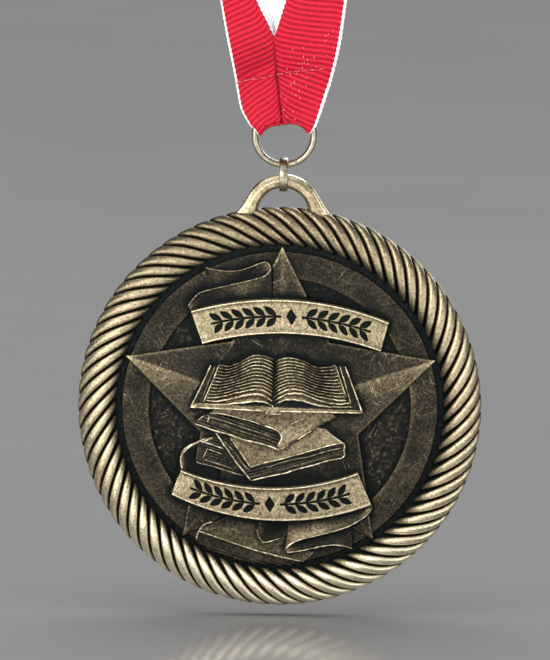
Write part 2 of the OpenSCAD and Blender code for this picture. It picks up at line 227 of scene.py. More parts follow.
def edgeDistance(points, outline):
    # how far each point lies from a closed outline
    best = np.full(len(points), 1e9)
    for a, b in sides(np.asarray(outline, float)):
        best = np.minimum(best, segmentDistance(points, a, b))
    return best


def insideOutline(points, outline):
    inside = np.zeros(len(points), bool)
    x, y = points[:, 0], points[:, 1]
    for a, b in sides(outline):
        at = (b[0] - a[0]) * (y - a[1]) / (b[1] - a[1] + 1e-15) + a[0]
        inside ^= ((a[1] > y) != (b[1] > y)) & (x < at)
    return inside


def stepsAlong(a, b, spacing, fewest=1):
    # points from a to b, about one spacing apart
    steps = max(fewest, int(round(np.linalg.norm(b - a) / spacing)))
    return np.array([a + (b - a) * k / steps for k in range(steps + 1)])


def fillOutline(outline, spacing, insets=(0.07, 0.16), lines=()):
    # an even net of triangles inside an outline, finer along its edge; lines are kept as edges
    outline = np.asarray(outline, float)
    x, y = outline.T
    if np.sum(x * np.roll(y, -1) - np.roll(x, -1) * y) < 0:
        outline = outline[::-1]
    rim = np.vstack([stepsAlong(a, b, spacing)[:-1] for a, b in sides(outline)])
    along = np.roll(rim, -1, axis=0) - np.roll(rim, 1, axis=0)
    inward = np.column_stack([-along[:, 1], along[:, 0]]) / np.linalg.norm(along, axis=1)[:, None]
    free = []
    for inset in insets:
        moved = rim + inward * inset
        free.append(moved[insideOutline(moved, outline) & (edgeDistance(moved, outline) > 0.9 * inset)])
    low, high = outline.min(axis=0), outline.max(axis=0)
    rowGap = spacing * 0.866  # rows of even triangles
    x, y = np.meshgrid(np.arange(low[0], high[0], spacing), np.arange(low[1], high[1], rowGap))
    x = x + (np.arange(len(y)) % 2)[:, None] * spacing / 2
    net = np.column_stack([x.ravel(), y.ravel()])
    net = net[insideOutline(net, outline)]
    net = net[edgeDistance(net, outline) > max(insets, default=0) + 0.45 * spacing]
    edges, chains, start = list(sides(range(len(rim)))), [rim], len(rim)
    for a, b in lines:
        chain = stepsAlong(np.asarray(a, float), np.asarray(b, float), spacing, fewest=2)
        net = net[segmentDistance(net, chain[0], chain[-1]) > 0.4 * spacing]
        edges += [(start + i, start + i + 1) for i in range(len(chain) - 1)]
        chains.append(chain)
        start += len(chain)
    corners = [Vector(p) for p in np.vstack(chains + free + [net])]
    made = geometry.delaunay_2d_cdt(corners, edges, [list(range(len(rim)))], 1, 1e-5)
    return np.array([tuple(p) for p in made[0]]), [list(f) for f in made[2]]


def closeDown(points, faces, wear, bottom, wallWear):
    # adds walls from the open rim of a face-up net down to a flat bottom
    points, count, foot = [list(p) for p in points], len(points), {}
    uses = dict.fromkeys(pair for face in faces for pair in sides(face))
    rim = [(a, b) for a, b in uses if (b, a) not in uses]
    for i in [i for pair in rim for i in pair]:
        if i not in foot:
            foot[i] = len(points)
            points.append([*points[i][:2], bottom])
    walls = [[b, a, foot[a], foot[b]] for a, b in rim]
    after = {b: a for a, b in rim}
    floors, left = [], set(after)
    while left:
        loop, at = [], min(left)
        while at in left:
            left.discard(at)
            loop.append(foot[at])
            at = after[at]
        floors.append(loop)
    wear = np.concatenate([np.ravel(wear), np.full(len(points) - count, wallWear)])
    return points, faces + walls + floors, wear


def gatherFlat():
    # every medal piece made so far, as one flat mesh for casting rays
    points, faces = [], []
    for obj in medalPieces:
        start = len(points)
        points += flatCoordinates(obj).tolist()
        faces += [[v + start for v in p.vertices] for p in obj.data.polygons]
    return BVHTree.FromPolygons(points, faces)


def heightUnder(tree, x, y, missed):
    hit = tree.ray_cast(Vector((x, y, 20.0)), Vector((0, 0, -1)))
    return missed if hit[0] is None else hit[0].z


# Node helpers


class Tree:
    # an input given a socket is linked, any other value is set
    def put(self, socket, value):
        if isinstance(value, bpy.types.NodeSocket):
            self.tree.links.new(value, socket)
        elif socket.type == "RGBA" and len(value) == 3:
            socket.default_value = (*value, 1.0)
        else:
            socket.default_value = value

    def node(self, kind, settings=None, **inputs):
        node = self.tree.nodes.new(kind)
        for key, value in (settings or {}).items():
            setattr(node, key, value)
        for key, value in inputs.items():
            self.put([s for s in node.inputs if s.enabled and s.name == key.replace("_", " ")][0], value)
        return node

    def math(self, what, *values, clamp=False):
        node = self.node("ShaderNodeMath", {"operation": what, "use_clamp": clamp})
        for socket, value in zip(node.inputs, values):
            self.put(socket, value)
        return node.outputs[0]

    def times(self, a, b):
        return self.math("MULTIPLY", a, b)


class Material(Tree):
    def __init__(self, name):
        self.material = bpy.data.materials.new(name)
        self.material.use_nodes = True
        self.tree = self.material.node_tree
        self.tree.nodes.clear()
        self.shader = self.node("ShaderNodeBsdfPrincipled")
        self.node("ShaderNodeOutputMaterial", Surface=self.shader.outputs[0])
        self.place = self.node("ShaderNodeTexCoord").outputs["Object"]

    def shade(self, **values):
        for key, value in values.items():
            self.put(self.shader.inputs[key.replace("_", " ")], value)
        return self.material

    def attribute(self, name):
        return self.node("ShaderNodeAttribute", {"attribute_name": name}).outputs["Fac"]

    def add(self, *values):
        total = values[0]
        for value in values[1:]:
            total = self.math("ADD", total, value)
        return total

    def centred(self, value, strength):
        return self.times(self.math("SUBTRACT", value, 0.5), strength)

    def remap(self, value, low, high, toLow=0.0, toHigh=1.0):
        node = self.node(
            "ShaderNodeMapRange", {"interpolation_type": "SMOOTHSTEP"},
            Value=value, From_Min=low, From_Max=high, To_Min=toLow, To_Max=toHigh,
        )
        return node.outputs[0]

    def noise(self, scale, detail=3.0, roughness=0.55, stretch=(1, 1, 1), turn=0.0, distortion=0.0):
        # scale counts the patches in one millimetre
        source, scales = self.place, [scale / mm * s for s in stretch]
        if turn:
            angles = (0.0, radians(turn), 0.0)
            source = self.node("ShaderNodeMapping", None, Vector=source, Rotation=angles).outputs[0]
        mapped = self.node("ShaderNodeMapping", None, Vector=source, Scale=scales)
        node = self.node(
            "ShaderNodeTexNoise", None, Vector=mapped.outputs[0], Scale=1.0, Detail=detail,
            Roughness=roughness, Distortion=distortion,
        )
        return node.outputs["Fac"]

    def ramp(self, value, stops):
        node = self.node("ShaderNodeValToRGB", None, Fac=value)
        elements = node.color_ramp.elements
        while len(elements) < len(stops):
            elements.new(0.5)
        for element, (at, color) in zip(elements, stops):
            element.position = at
            element.color = (*color, 1.0)
        return node.outputs["Color"]

    def mix(self, share, a, b):
        node = self.node("ShaderNodeMix", {"data_type": "RGBA"}, Factor=share, A=a, B=b)
        return [s for s in node.outputs if s.enabled][0]

    def bump(self, height, strength, distance, under=None):
        node = self.node("ShaderNodeBump", None, Strength=strength, Distance=distance * mm, Height=height)
        if under:
            self.put(node.inputs["Normal"], under)
        return node.outputs[0]


class GeometryTree(Tree):
    # a geometry node tree with named inputs, and the call that turns it into a mesh
    def __init__(self, name, **inputs):
        self.tree = bpy.data.node_groups.new(name, "GeometryNodeTree")
        face = self.tree.interface
        kinds = {float: "Float", int: "Int", "material": "Material", "object": "Object"}
        face.new_socket("Geometry", in_out="INPUT", socket_type="NodeSocketGeometry")
        face.new_socket("Geometry", in_out="OUTPUT", socket_type="NodeSocketGeometry")
        self.ids = {}
        for key, kind in inputs.items():
            socket = face.new_socket(key, in_out="INPUT", socket_type="NodeSocket" + kinds[kind])
            self.ids[key] = socket.identifier
        self.source = self.tree.nodes.new("NodeGroupInput")
        self.result = self.tree.nodes.new("NodeGroupOutput")

    def get(self, key):
        return self.source.outputs[key]

    def attribute(self, name, kind="FLOAT"):
        return self.node("GeometryNodeInputNamedAttribute", {"data_type": kind}, Name=name).outputs[0]

    def finish(self, shape):
        real = self.node("GeometryNodeRealizeInstances", None, Geometry=shape.outputs[0])
        painted = self.node(
            "GeometryNodeSetMaterial", None, Geometry=real.outputs[0], Material=self.get("paint")
        )
        self.tree.links.new(painted.outputs[0], self.result.inputs[0])

    def apply(self, name, source, **values):
        if not source.data.materials:
            source.data.materials.append(values["paint"])
        modifier = source.modifiers.new(self.tree.name, "NODES")
        modifier.node_group = self.tree
        for key, value in values.items():
            modifier[self.ids[key]] = value
        source.update_tag()
        graph = bpy.context.evaluated_depsgraph_get()
        mesh = bpy.data.meshes.new_from_object(source.evaluated_get(graph))
        mesh.name = name
        old = source.data
        source.modifiers.remove(modifier)
        bpy.data.objects.remove(source)
        if old.users == 0:
            bpy.data.meshes.remove(old)
        shadeSmooth(mesh)
        return sceneObject(name, mesh)


# Antique brass; colours are linear, tone runs from the black recesses to the rubbed high spots

antiqueBrass = {
    "tones": [
        (0.00, (0.006, 0.008, 0.008)), (0.18, (0.020, 0.018, 0.014)), (0.40, (0.083, 0.068, 0.045)),
        (0.62, (0.245, 0.205, 0.128)), (0.82, (0.500, 0.435, 0.290)), (1.00, (0.830, 0.760, 0.580)),
    ],
    "mottle": 0.34, "cavityDark": 0.75, "scratchBright": 0.24, "pocks": 0.15, "specular": 0.22,
    # turn in degrees and stretch of each set of scratches
    "scratches": [(23, (7.0, 1, 0.22)), (-31, (6.0, 1, 0.20)), (64, (7.5, 1, 0.24)), (-66, (6.5, 1, 0.18))],
}


def makeBrass(name, mottle=1.0, scratches=1.0, grain=1.0, polish=0.0, dust=0.0):
    n, look = Material(name), antiqueBrass
    coarse, fine, speck = n.noise(0.55, 4.0, 0.6), n.noise(2.6, 3.0, 0.65), n.noise(6.5, 2.0, 0.5)
    spread = n.add(n.centred(coarse, 0.55), n.centred(fine, 1.45), n.centred(speck, 0.95))
    # the tone is the wear, with painted light and shade on the star and the rope
    tone = n.add(n.attribute("wear"), n.times(spread, look["mottle"] * mottle))
    # hollows are darkened: partly the patina the brass keeps in them, partly painted shade under raised parts
    tone = n.math("SUBTRACT", tone, n.times(n.attribute("cavity"), look["cavityDark"]))
    # small pits that kept their dark finish
    tone = n.math("SUBTRACT", tone, n.remap(n.noise(4.6, 2.0), 0.34, 0.48, look["pocks"], 0.0))
    lines, fewest = 0.0, 0.68 - 0.03 * (scratches - 1)
    for turn, stretch in look["scratches"]:
        streak = n.noise(1.35, 1.0, 0.4, stretch=stretch, turn=turn, distortion=0.15)
        broken = n.remap(n.noise(0.30, 1.0, turn=turn), 0.46, 0.64)
        lines = n.math("MAXIMUM", lines, n.times(n.remap(streak, fewest, fewest + 0.08), broken))
    patch = n.remap(n.noise(0.22, 1.0), 0.36, 0.60)
    lines = n.times(n.times(lines, patch), look["scratchBright"] * scratches)
    if dust:  # bright specks rubbed on the dark ground
        tone = n.add(tone, n.remap(n.noise(5.0, 2.0, 0.6, distortion=0.3), 0.56, 0.70, 0.0, dust))
    tone = n.math("ADD", tone, lines, clamp=True)
    rough = n.add(n.remap(tone, 0.1, 0.95, 0.62, 0.46 - 0.10 * polish), n.centred(fine, 0.20))
    normal = n.bump(n.add(n.times(fine, 0.6), n.times(speck, 0.5)), 0.50 * grain, 0.07)
    normal = n.bump(n.noise(12.0, 2.0, 0.6), 0.24 * grain, 0.025, normal)
    return n.shade(
        Base_Color=n.ramp(tone, look["tones"]), Roughness=rough, Metallic=n.remap(tone, 0.05, 0.5, 0.86, 1.0),
        Normal=normal, Specular_IOR_Level=look["specular"],
    )


reliefBrass = makeBrass("reliefBrass", mottle=1.2)
ropeBrass = makeBrass("ropeBrass", mottle=0.95, scratches=0.5)
darkBrass = makeBrass("darkBrass", mottle=0.9, scratches=1.6, grain=1.4, dust=0.17)
bailBrass = makeBrass("bailBrass", mottle=0.75, scratches=0.7, polish=1.0)
print("brass ready")


# Disc, ring band and star

disc = {
    "radius": 22.0, "around": 600, "netSpacing": 0.24, "pebbleSize": 0.34, "pebbleHeight": 0.08,
    "fieldEdge": 20.9, "backWear": 0.56, "weld": 2e-6,
}
ringBand = {"inner": 16.45, "outer": 19.85, "rise": 0.45, "round": 0.16, "steps": 260}
star = {
    "tips": 20.6, "notches": 0.51, "tipHeight": 2.15, "notchHeight": 2.2, "peakHeight": 3.0, "spacing": 0.3,
    "halfArm": 36.0,
}


def buildDisc():
    edge, radius, around = (disc[k] for k in ("fieldEdge", "radius", "around"))
    a, r = turned([(edge,)], around)
    rim = np.column_stack([r * np.cos(a), r * np.sin(a)])
    points, faces = fillOutline(rim, disc["netSpacing"], insets=())
    x, y = points.T
    pebble = bumps(x, y, 3, (1, disc["pebbleSize"]), (0.5, 0.5 * disc["pebbleSize"]))
    pebble *= smoothStep(edge - np.hypot(x, y), 0.01, 0.4)
    top = np.column_stack([x, y, field + disc["pebbleHeight"] * np.clip(pebble, -0.9, 0.9)])
    # the rest of the disc, hidden under the rope, and the plain back
    profile = [
        (edge, field), (edge + 0.5, field - 0.4), (radius, 0.5), (radius, 0.06), (radius - 0.08, 0.0),
        (14.0, 0.0), (6.0, 0.0), (1.0, 0.0),
    ]
    a, r, h = turned(profile, around)
    body = np.vstack([np.column_stack([r * np.cos(a), r * np.sin(a), h]), [0, 0, 0]])
    bodyFaces = gridFaces(around, len(profile), closedRows=True, flip=True)
    lastRing = range(len(profile) - 1, len(body) - 1, len(profile))
    bodyFaces += [[a, len(body) - 1, b] for a, b in sides(lastRing)]
    medalPiece(
        "medalDisc", darkBrass, (top, faces, 0.10 + 0.16 * smoothStep(pebble, 0.1, 1.0)),
        (body, bodyFaces, disc["backWear"]), weld=disc["weld"],
    )


def buildRingBand():
    inner, outer, rise, soft, steps = (ringBand[k] for k in ("inner", "outer", "rise", "round", "steps"))

    def rounded(middle, start, tone):
        angles = [start - k * pi / 8 for k in range(5)]
        return [(middle + soft * cos(a), field + rise - soft + soft * sin(a), tone) for a in angles]

    wide = outer - inner - 2 * soft
    profile = [
        (inner, field - 0.25, 0.1), (inner + 0.02, field + 0.15, 0.12), *rounded(inner + soft, pi, 0.27),
        *[(inner + soft + wide * share, field + rise, 0.17) for share in (0.2, 0.4, 0.6, 0.8)],
        *rounded(outer - soft, pi / 2, 0.20), (outer - 0.02, field + 0.15, 0.12), (outer, field - 0.25, 0.1),
    ]
    a, r, h, tone = turned(profile, steps)
    x, y = r * np.cos(a), r * np.sin(a)
    lift = 0.025 * latticeNoise(x, y, 1.6, 8) * (h > field + 0.2)
    wear = tone * (0.92 - 0.22 * np.sin(a)) + 0.05 * latticeNoise(x, y, 2.2, 9)
    faces = gridFaces(steps, len(profile), closedRows=True, closedColumns=True, flip=True)
    medalPiece("ringBand", darkBrass, (np.column_stack([x, y, h + lift]), faces, wear))


def buildStar():
    tip, notch, half = star["tips"], star["tips"] * star["notches"], star["halfArm"]
    a = np.radians(90 + half * np.arange(10))
    outline = np.column_stack([np.cos(a), np.sin(a)]) * np.array([tip, notch] * 5)[:, None]
    lines = [((0.0, 0.0), 0.985 * corner) for corner in outline]
    points, faces = fillOutline(outline, star["spacing"], insets=(0.06, 0.15), lines=lines)
    x, y = points.T
    # each facet is a plane through the middle, a tip and a notch
    angle, r = np.degrees(np.arctan2(y, x)) - 90, np.hypot(x, y)
    near = (angle + half) % (2 * half) - half
    along, across = r * np.cos(np.radians(near)), r * np.sin(np.radians(np.abs(near)))
    notchShare = across / (notch * sin(radians(half)))
    tipShare = (along - notchShare * notch * cos(radians(half))) / tip
    h = tipShare * star["tipHeight"] + notchShare * star["notchHeight"]
    h += (1 - notchShare - tipShare) * star["peakHeight"] + bumps(x, y, 21, (0.030, 0.9), (0.018, 0.45))
    edge = edgeDistance(points, outline)
    h -= 0.20 * (1 - smoothStep(edge, 0.0, 0.17)) + 0.10 * bell(across, 0, 0.22) * (along > 1)
    # painted light: the lower side of each arm, and one side of the top arm, is painted lighter, as light
    # falls on it
    arm = np.round(angle / (2 * half)) % 5
    lit = smoothStep(np.where(arm == 1, near, np.where(arm == 4, -near, -1.0)), -0.5, 0.5)
    wear = 0.12 + lit * (0.23 - 0.12 * smoothStep(across, 0.0, 3.2))
    wear += 0.05 * (arm == 0) * smoothStep(-near, -0.5, 0.5)
    wear += 0.20 * bell(across, 0, 0.16) * smoothStep(along, 5.0, 10.0) + 0.34 * bell(edge, 0.12, 0.08)
    wear += 0.06 * smoothStep(along, 9.0, 19.0) - 0.05 * smoothStep(-y, 2.0, 9.0)
    net = np.column_stack([x, y, clearFolds(points, h)])
    medalPiece("star", darkBrass, closeDown(net, faces, wear, field - 0.3, 0.05))


# Rope rim

rope = {
    "strands": 71, "turn": 17.0, "outer": 25.4, "width": 4.95, "foot": 1.2, "height": 3.2, "groove": 0.72,
    "across": 26, "along": 22, "join": 4e-6, "golden": 0.69, "gap": 0.11, "shoulders": (0.25, 0.16),
    "backTone": 0.60, "topPaintedShade": 0.27, "lowPaintedLight": 0.48,
}


def makeRopeTree():
    # repeats one strand all round the medal
    t = GeometryTree("ropeRound", strands=int, centreY=float, centreZ=float, join=float, paint="material")
    line = t.node("GeometryNodeMeshLine", {"mode": "OFFSET"}, Count=t.get("strands"), Offset=(0, 0, 0))
    centre = t.node("ShaderNodeCombineXYZ", None, Y=t.get("centreY"), Z=t.get("centreZ"))
    moved = t.node("GeometryNodeSetPosition", None, Geometry=line.outputs[0], Offset=centre.outputs[0])
    turn = t.times(t.node("GeometryNodeInputIndex").outputs[0], t.math("DIVIDE", 2 * pi, t.get("strands")))
    copies = t.node(
        "GeometryNodeInstanceOnPoints", None, Points=moved.outputs[0], Instance=t.get("Geometry"),
        Rotation=t.node("ShaderNodeCombineXYZ", None, Y=turn).outputs[0],
    )
    real = t.node("GeometryNodeRealizeInstances", None, Geometry=copies.outputs[0])
    t.finish(t.node("GeometryNodeMergeByDistance", None, Geometry=real.outputs[0], Distance=t.get("join")))
    return t


def strandPoint(a, t):
    # a runs over the rope from its outer foot to its inner foot, t over one strand's width
    half, foot = rope["width"] / 2, rope["foot"]
    middle, up = rope["outer"] - half, sin(radians(min(max(a, 0), 180)))
    side = min(1.0, abs(2 * t - 1) * (1 + 0.75 * max(0.0, (a - 95) / 85) ** 1.5))
    inset = rope["groove"] * (side**3.4 + 0.04 * sin(2 * pi * t)) * min(1.0, 1.4 * up + 0.25)
    shift = rope["turn"] if a > 180 else 0.0
    down = max(-a, a - 180, 0) / 90
    if a < 0:
        radius, height = middle + half - inset - 0.10 * down, foot * (1 - down) + 0.06 * down
    elif a > 180:
        radius, height = middle - half + 0.6 * inset, foot * (1 - down) + 0.5 * down
    else:
        radius = middle + (half - inset) * cos(radians(a))
        height = foot + (rope["height"] - foot - inset) * up
        shift = rope["turn"] * (0.75 * a / 180 + 0.25 * (1 - cos(radians(a))) / 2)
    angle = radians(360 / rope["strands"] * t - shift)
    # rubbed bright along both shoulders, golden between them, black in the groove
    tone = rope["golden"] + rope["shoulders"][t >= 0.5] * bell(side, 0.58, 0.15)
    tone = rope["gap"] + (tone - rope["gap"]) * (1 - smoothStep(side, 0.66, 0.93))
    tone *= (0.55 + 0.45 * smoothStep(up, 0.0, 0.35)) * (1 - 0.72 * smoothStep(a, 105, 172))
    return radius * cos(angle), radius * sin(angle), height, tone if -90 < a < 270 else rope["backTone"]


def buildRope():
    sweep = [-90, -45, 0] + [180 * k / rope["across"] for k in range(1, rope["across"])] + [180, 270]
    steps = rope["along"]
    x, y, h, wear = np.array([strandPoint(a, k / steps) for a in sweep for k in range(steps + 1)]).T
    # centred on the medal's middle, but already standing up
    points, faces = np.column_stack([x, -h, y]) * mm, gridFaces(len(sweep), steps + 1, closedRows=True)
    centre = {"centreY": medalPlace["plumb"] * mm, "centreZ": -medalPlace["loopTop"] * mm}
    obj = makeRopeTree().apply(
        "ropeRim", meshObject("strand", points, faces, wear=wear), strands=rope["strands"], join=rope["join"],
        paint=ropeBrass, **centre,
    )
    # painted shade towards the top, painted light towards the bottom
    up = flatCoordinates(obj)[:, 1] / rope["outer"]
    layer, wearWithPaintedLight = obj.data.attributes["wear"].data, np.empty(len(up), np.float32)
    layer.foreach_get("value", wearWithPaintedLight)
    wearWithPaintedLight *= 1 - rope["topPaintedShade"] * np.clip(up, 0, 1) ** 2 + rope["lowPaintedLight"] * np.clip(-up, 0, 1) ** 2
    layer.foreach_set("value", wearWithPaintedLight)
    medalPieces.append(obj)


# Scrolls

# centre x, centre y, radius, angle at the left end, angle at the right end; lengths in relief radii
scrollArcs = {
    "upper": {"top": (-0.0174, -1.0696, 1.7473, 107.8, 67.4), "low": (0.0208, -1.2053, 1.6696, 107.3, 69.5)},
    "lower": {"top": (-0.0575, 1.03, 1.5116, -110.8, -69.1), "low": (0.0101, 0.8604, 1.5498, -115.3, -69)},
}
scroll = {
    "height": 1.9, "fall": 0.55, "steps": 400, "across": 60, "bead": 0.10, "beadWidth": 0.20,
    "leafLength": 1.75, "leafWidth": 0.36, "leafSpacing": 1.36, "leafTilt": 40.0, "firstLeaf": 1.75,
    "endGap": 1.9, "stemWidth": 0.10, "diamond": 0.62, "cutDepth": 0.24, "root": 1.1,
    "foldSteps": (90, 18), "foldHollow": 0.176,
}
# upper x, y, height, lower x, y, height, tone with painted light and shade; lengths in relief radii, heights
# in scroll heights
foldRows = {
    "upperFold": [
        (-0.566, 0.621, 0.684, -0.548, 0.589, 0.684, 0.5),
        (-0.531, 0.671, 0.658, -0.522, 0.594, 0.526, 0.1),
        (-0.478, 0.711, 0.632, -0.473, 0.604, 0.447, 0.1),
        (-0.327, 0.75, 0.605, -0.324, 0.628, 0.421, 0.26),
        (-0.193, 0.784, 0.579, -0.193, 0.652, 0.421, 0.48),
        (-0.104, 0.813, 0.579, -0.097, 0.657, 0.447, 0.3),
        (-0.064, 0.855, 0.579, -0.058, 0.657, 0.474, 0.12),
    ],
    "upperTail": [
        (-0.463, 0.856, 0.421, -0.456, 0.705, 0.289, 0.18),
        (-0.427, 0.847, 0.421, -0.415, 0.71, 0.289, 0.34),
        (-0.328, 0.836, 0.432, -0.327, 0.734, 0.289, 0.22),
        (-0.239, 0.847, 0.447, -0.239, 0.758, 0.289, 0.12),
        (-0.114, 0.894, 0.5, -0.145, 0.783, 0.316, 0.08), (-0.083, 0.887, 0.526, -0.092, 0.802, 0.368, 0.3),
        (-0.066, 0.856, 0.568, -0.067, 0.836, 0.553, 0.8),
    ],
    "lowerCurl": [
        (-0.601, -0.317, 0.553, -0.592, -0.384, 0.632, 0.8),
        (-0.585, -0.271, 0.474, -0.546, -0.411, 0.421, 0.12),
        (-0.55, -0.239, 0.421, -0.512, -0.425, 0.316, 0.06),
        (-0.496, -0.215, 0.395, -0.464, -0.44, 0.289, 0.08),
        (-0.452, -0.197, 0.368, -0.415, -0.454, 0.289, 0.1),
        (-0.398, -0.182, 0.368, -0.357, -0.464, 0.289, 0.1),
    ],
    "lowerFold": [
        (0.069, -0.671, 0.474, 0.046, -0.87, 0.553, 0.4), (0.106, -0.671, 0.526, 0.089, -0.83, 0.579, 0.56),
        (0.155, -0.667, 0.526, 0.151, -0.801, 0.579, 0.62),
        (0.285, -0.647, 0.474, 0.285, -0.767, 0.579, 0.48),
        (0.415, -0.623, 0.447, 0.418, -0.724, 0.579, 0.26),
        (0.512, -0.599, 0.474, 0.516, -0.668, 0.589, 0.22), (0.56, -0.585, 0.605, 0.56, -0.621, 0.605, 0.6),
    ],
    "lowerTail": [
        (0.053, -0.85, 0.537, 0.058, -0.889, 0.537, 0.6), (0.106, -0.816, 0.368, 0.152, -0.874, 0.474, 0.1),
        (0.188, -0.783, 0.316, 0.242, -0.854, 0.447, 0.08),
        (0.3, -0.754, 0.289, 0.331, -0.839, 0.432, 0.14),
        (0.386, -0.725, 0.289, 0.402, -0.843, 0.421, 0.14),
        (0.449, -0.7, 0.289, 0.457, -0.859, 0.421, 0.12),
    ],
    "lowerRoll": [
        (-0.101, -0.671, 0.474, -0.127, -0.752, 0.5, 0.34),
        (-0.072, -0.671, 0.395, -0.111, -0.802, 0.474, 0.1),
        (-0.019, -0.671, 0.368, -0.075, -0.828, 0.421, 0.08),
        (0.068, -0.671, 0.342, 0.016, -0.802, 0.368, 0.08),
    ],
}
# folds whose lower long edge carries the thin bright rim; the others carry it on the upper edge
lowerRims = ("lowerFold", "lowerTail", "lowerRoll")
foldLift = {"lowerTail": 0.15, "lowerRoll": 0.12, "lowerFold": 0.10}
beadLines = []  # each is (points x, y, h, thickness, wear)


def arcPoints(arc, count):
    x, y, radius, first, last = arc
    a = np.radians(np.linspace(first, last, count))
    return np.column_stack([x + radius * np.cos(a), y + radius * np.sin(a)]) * relief


def leafCut(u, v, middle):
    # how deep the leaf spray is cut at u along and v across the band, from 0 to 1
    s, tilt = scroll, radians(scroll["leafTilt"])
    side, reach = np.abs(u - middle), middle - scroll["endGap"]
    cut = np.where((side > 1.25) & (side < reach), (s["stemWidth"] - np.abs(v)) / 0.07, -9.0)
    for at in np.arange(s["firstLeaf"], reach - 0.75, s["leafSpacing"]):
        for up in (-1, 1):
            p = (side - at) * cos(tilt) + v * up * sin(tilt) - 0.62 * s["leafLength"]
            q = v * up * cos(tilt) - (side - at) * sin(tilt)
            half = s["leafWidth"] * np.clip(1 - (2 * p / s["leafLength"]) ** 2, -3, 1)
            cut = np.maximum(cut, (half - np.abs(q)) / 0.07)
    # a small plain diamond between the two sprays
    cut = np.maximum(cut, (s["diamond"] * (1 - np.abs(v)) - side) / 0.09)
    return smoothStep(cut, -0.6, 0.9)


def buildScroll(name, arcs):
    s, n, m = scroll, scroll["steps"], scroll["across"]
    top, low = arcPoints(arcs["top"], n), arcPoints(arcs["low"], n)
    along, width = lengthAlong((top + low) / 2), np.linalg.norm(top - low, axis=1)
    # closer lines near both long edges, where the bead is
    turn = np.cos(np.linspace(0, pi, m))
    share = 0.5 - 0.5 * turn * (0.86 + 0.14 * np.abs(turn))
    x, y = spanned(top, low, share).reshape(-1, 2).T
    u, v = np.repeat(along, m), (width[:, None] * (share - 0.5)).ravel()
    toEdge, toEnd = np.repeat(width / 2, m) - np.abs(v), np.minimum(u, along[-1] - u)
    cut = leafCut(u, -v, along[-1] / 2)
    h = field + s["height"] - s["fall"] * (2 * u / along[-1] - 1) ** 2 - s["cutDepth"] * cut
    h += s["bead"] * np.exp(-(((toEdge - 0.17) / s["beadWidth"]) ** 4))
    h -= 0.30 * (1 - smoothStep(np.minimum(toEdge, toEnd + 0.05), 0.0, 0.12))
    h += bumps(x, y, 31, (0.022, 0.5), (0.012, 0.22))
    wear = 0.585 + 0.25 * bell(toEdge, 0.14, 0.13) - 0.92 * cut
    wear += 0.10 * bell(toEnd, 0.12, 0.14) - 0.10 * bell(toEdge, 0.52, 0.16)
    faces = gridFaces(n, m, flip=True)
    medalPiece(name, reliefBrass, closeDown(np.column_stack([x, y, h]), faces, wear, s["root"], 0.06))


def buildFold(name, rows, order):
    table, (n, m), rim = np.array(rows), scroll["foldSteps"], int(name in lowerRims)
    scale, lift = [relief, relief, scroll["height"]], [0, 0, field + foldLift.get(name, 0.0)]
    edges = [splineThrough(table[:, k : k + 3] * scale + lift, n) for k in (0, 3)]
    share = np.linspace(0, 1, m)
    fromRim = 1 - share if rim else share
    grid = spanned(*edges, share)
    # the cloth of the scroll is hollow behind its rim
    grid[:, :, 2] -= scroll["foldHollow"] * np.sin(pi * np.clip(1.1 * fromRim, 0, 1))
    flat = grid.reshape(-1, 3)
    flat[:, 2] += 0.020 * latticeNoise(flat[:, 0], flat[:, 1], 0.45, 40 + order)
    # painted light and shade: rows whose face is lit are painted lighter, and each fold is painted darker
    # away from its rim, where it turns under
    tone = np.interp(np.linspace(0, 1, n), np.linspace(0, 1, len(table)), table[:, 6])
    wear = 0.84 * tone[:, None] * (1.0 - 0.6 * smoothStep(fromRim, 0.40, 1.0))
    thickness, bright = (0.10, 0.84) if name.startswith("lower") else (0.085, 0.64)
    beadLines.append((edges[rim] + [0, 0, 0.02], thickness, bright))
    root = field * (0.8 - 0.006 * order)  # no two folds stand on one level
    medalPiece(name, reliefBrass, closeDown(flat, gridFaces(n, m, flip=True), wear, root, 0.04))


def clearFolds(points, h):
    # the star is cut away where a fold of a scroll or the last book lies over it
    for rows in foldRows.values():
        table = np.array(rows) * relief
        inside = insideOutline(points, np.vstack([table[:, 0:2], table[::-1, 3:5]]))
        h = np.where(inside, np.minimum(h, field + 0.3), h)
    for name in ("lastCover", "lastPages"):
        h = np.where(insideOutline(points, bookOutlines[name]), np.minimum(h, field + 0.4), h)
    return h


# Books

openBook = {
    "lineCount": 10, "lineHeight": 0.10, "columns": 150, "rowsPerLine": 14, "lineTone": 0.77,
    "valleyTone": 0.36, "sag": {"left": -6.4, "right": 4.9},
}
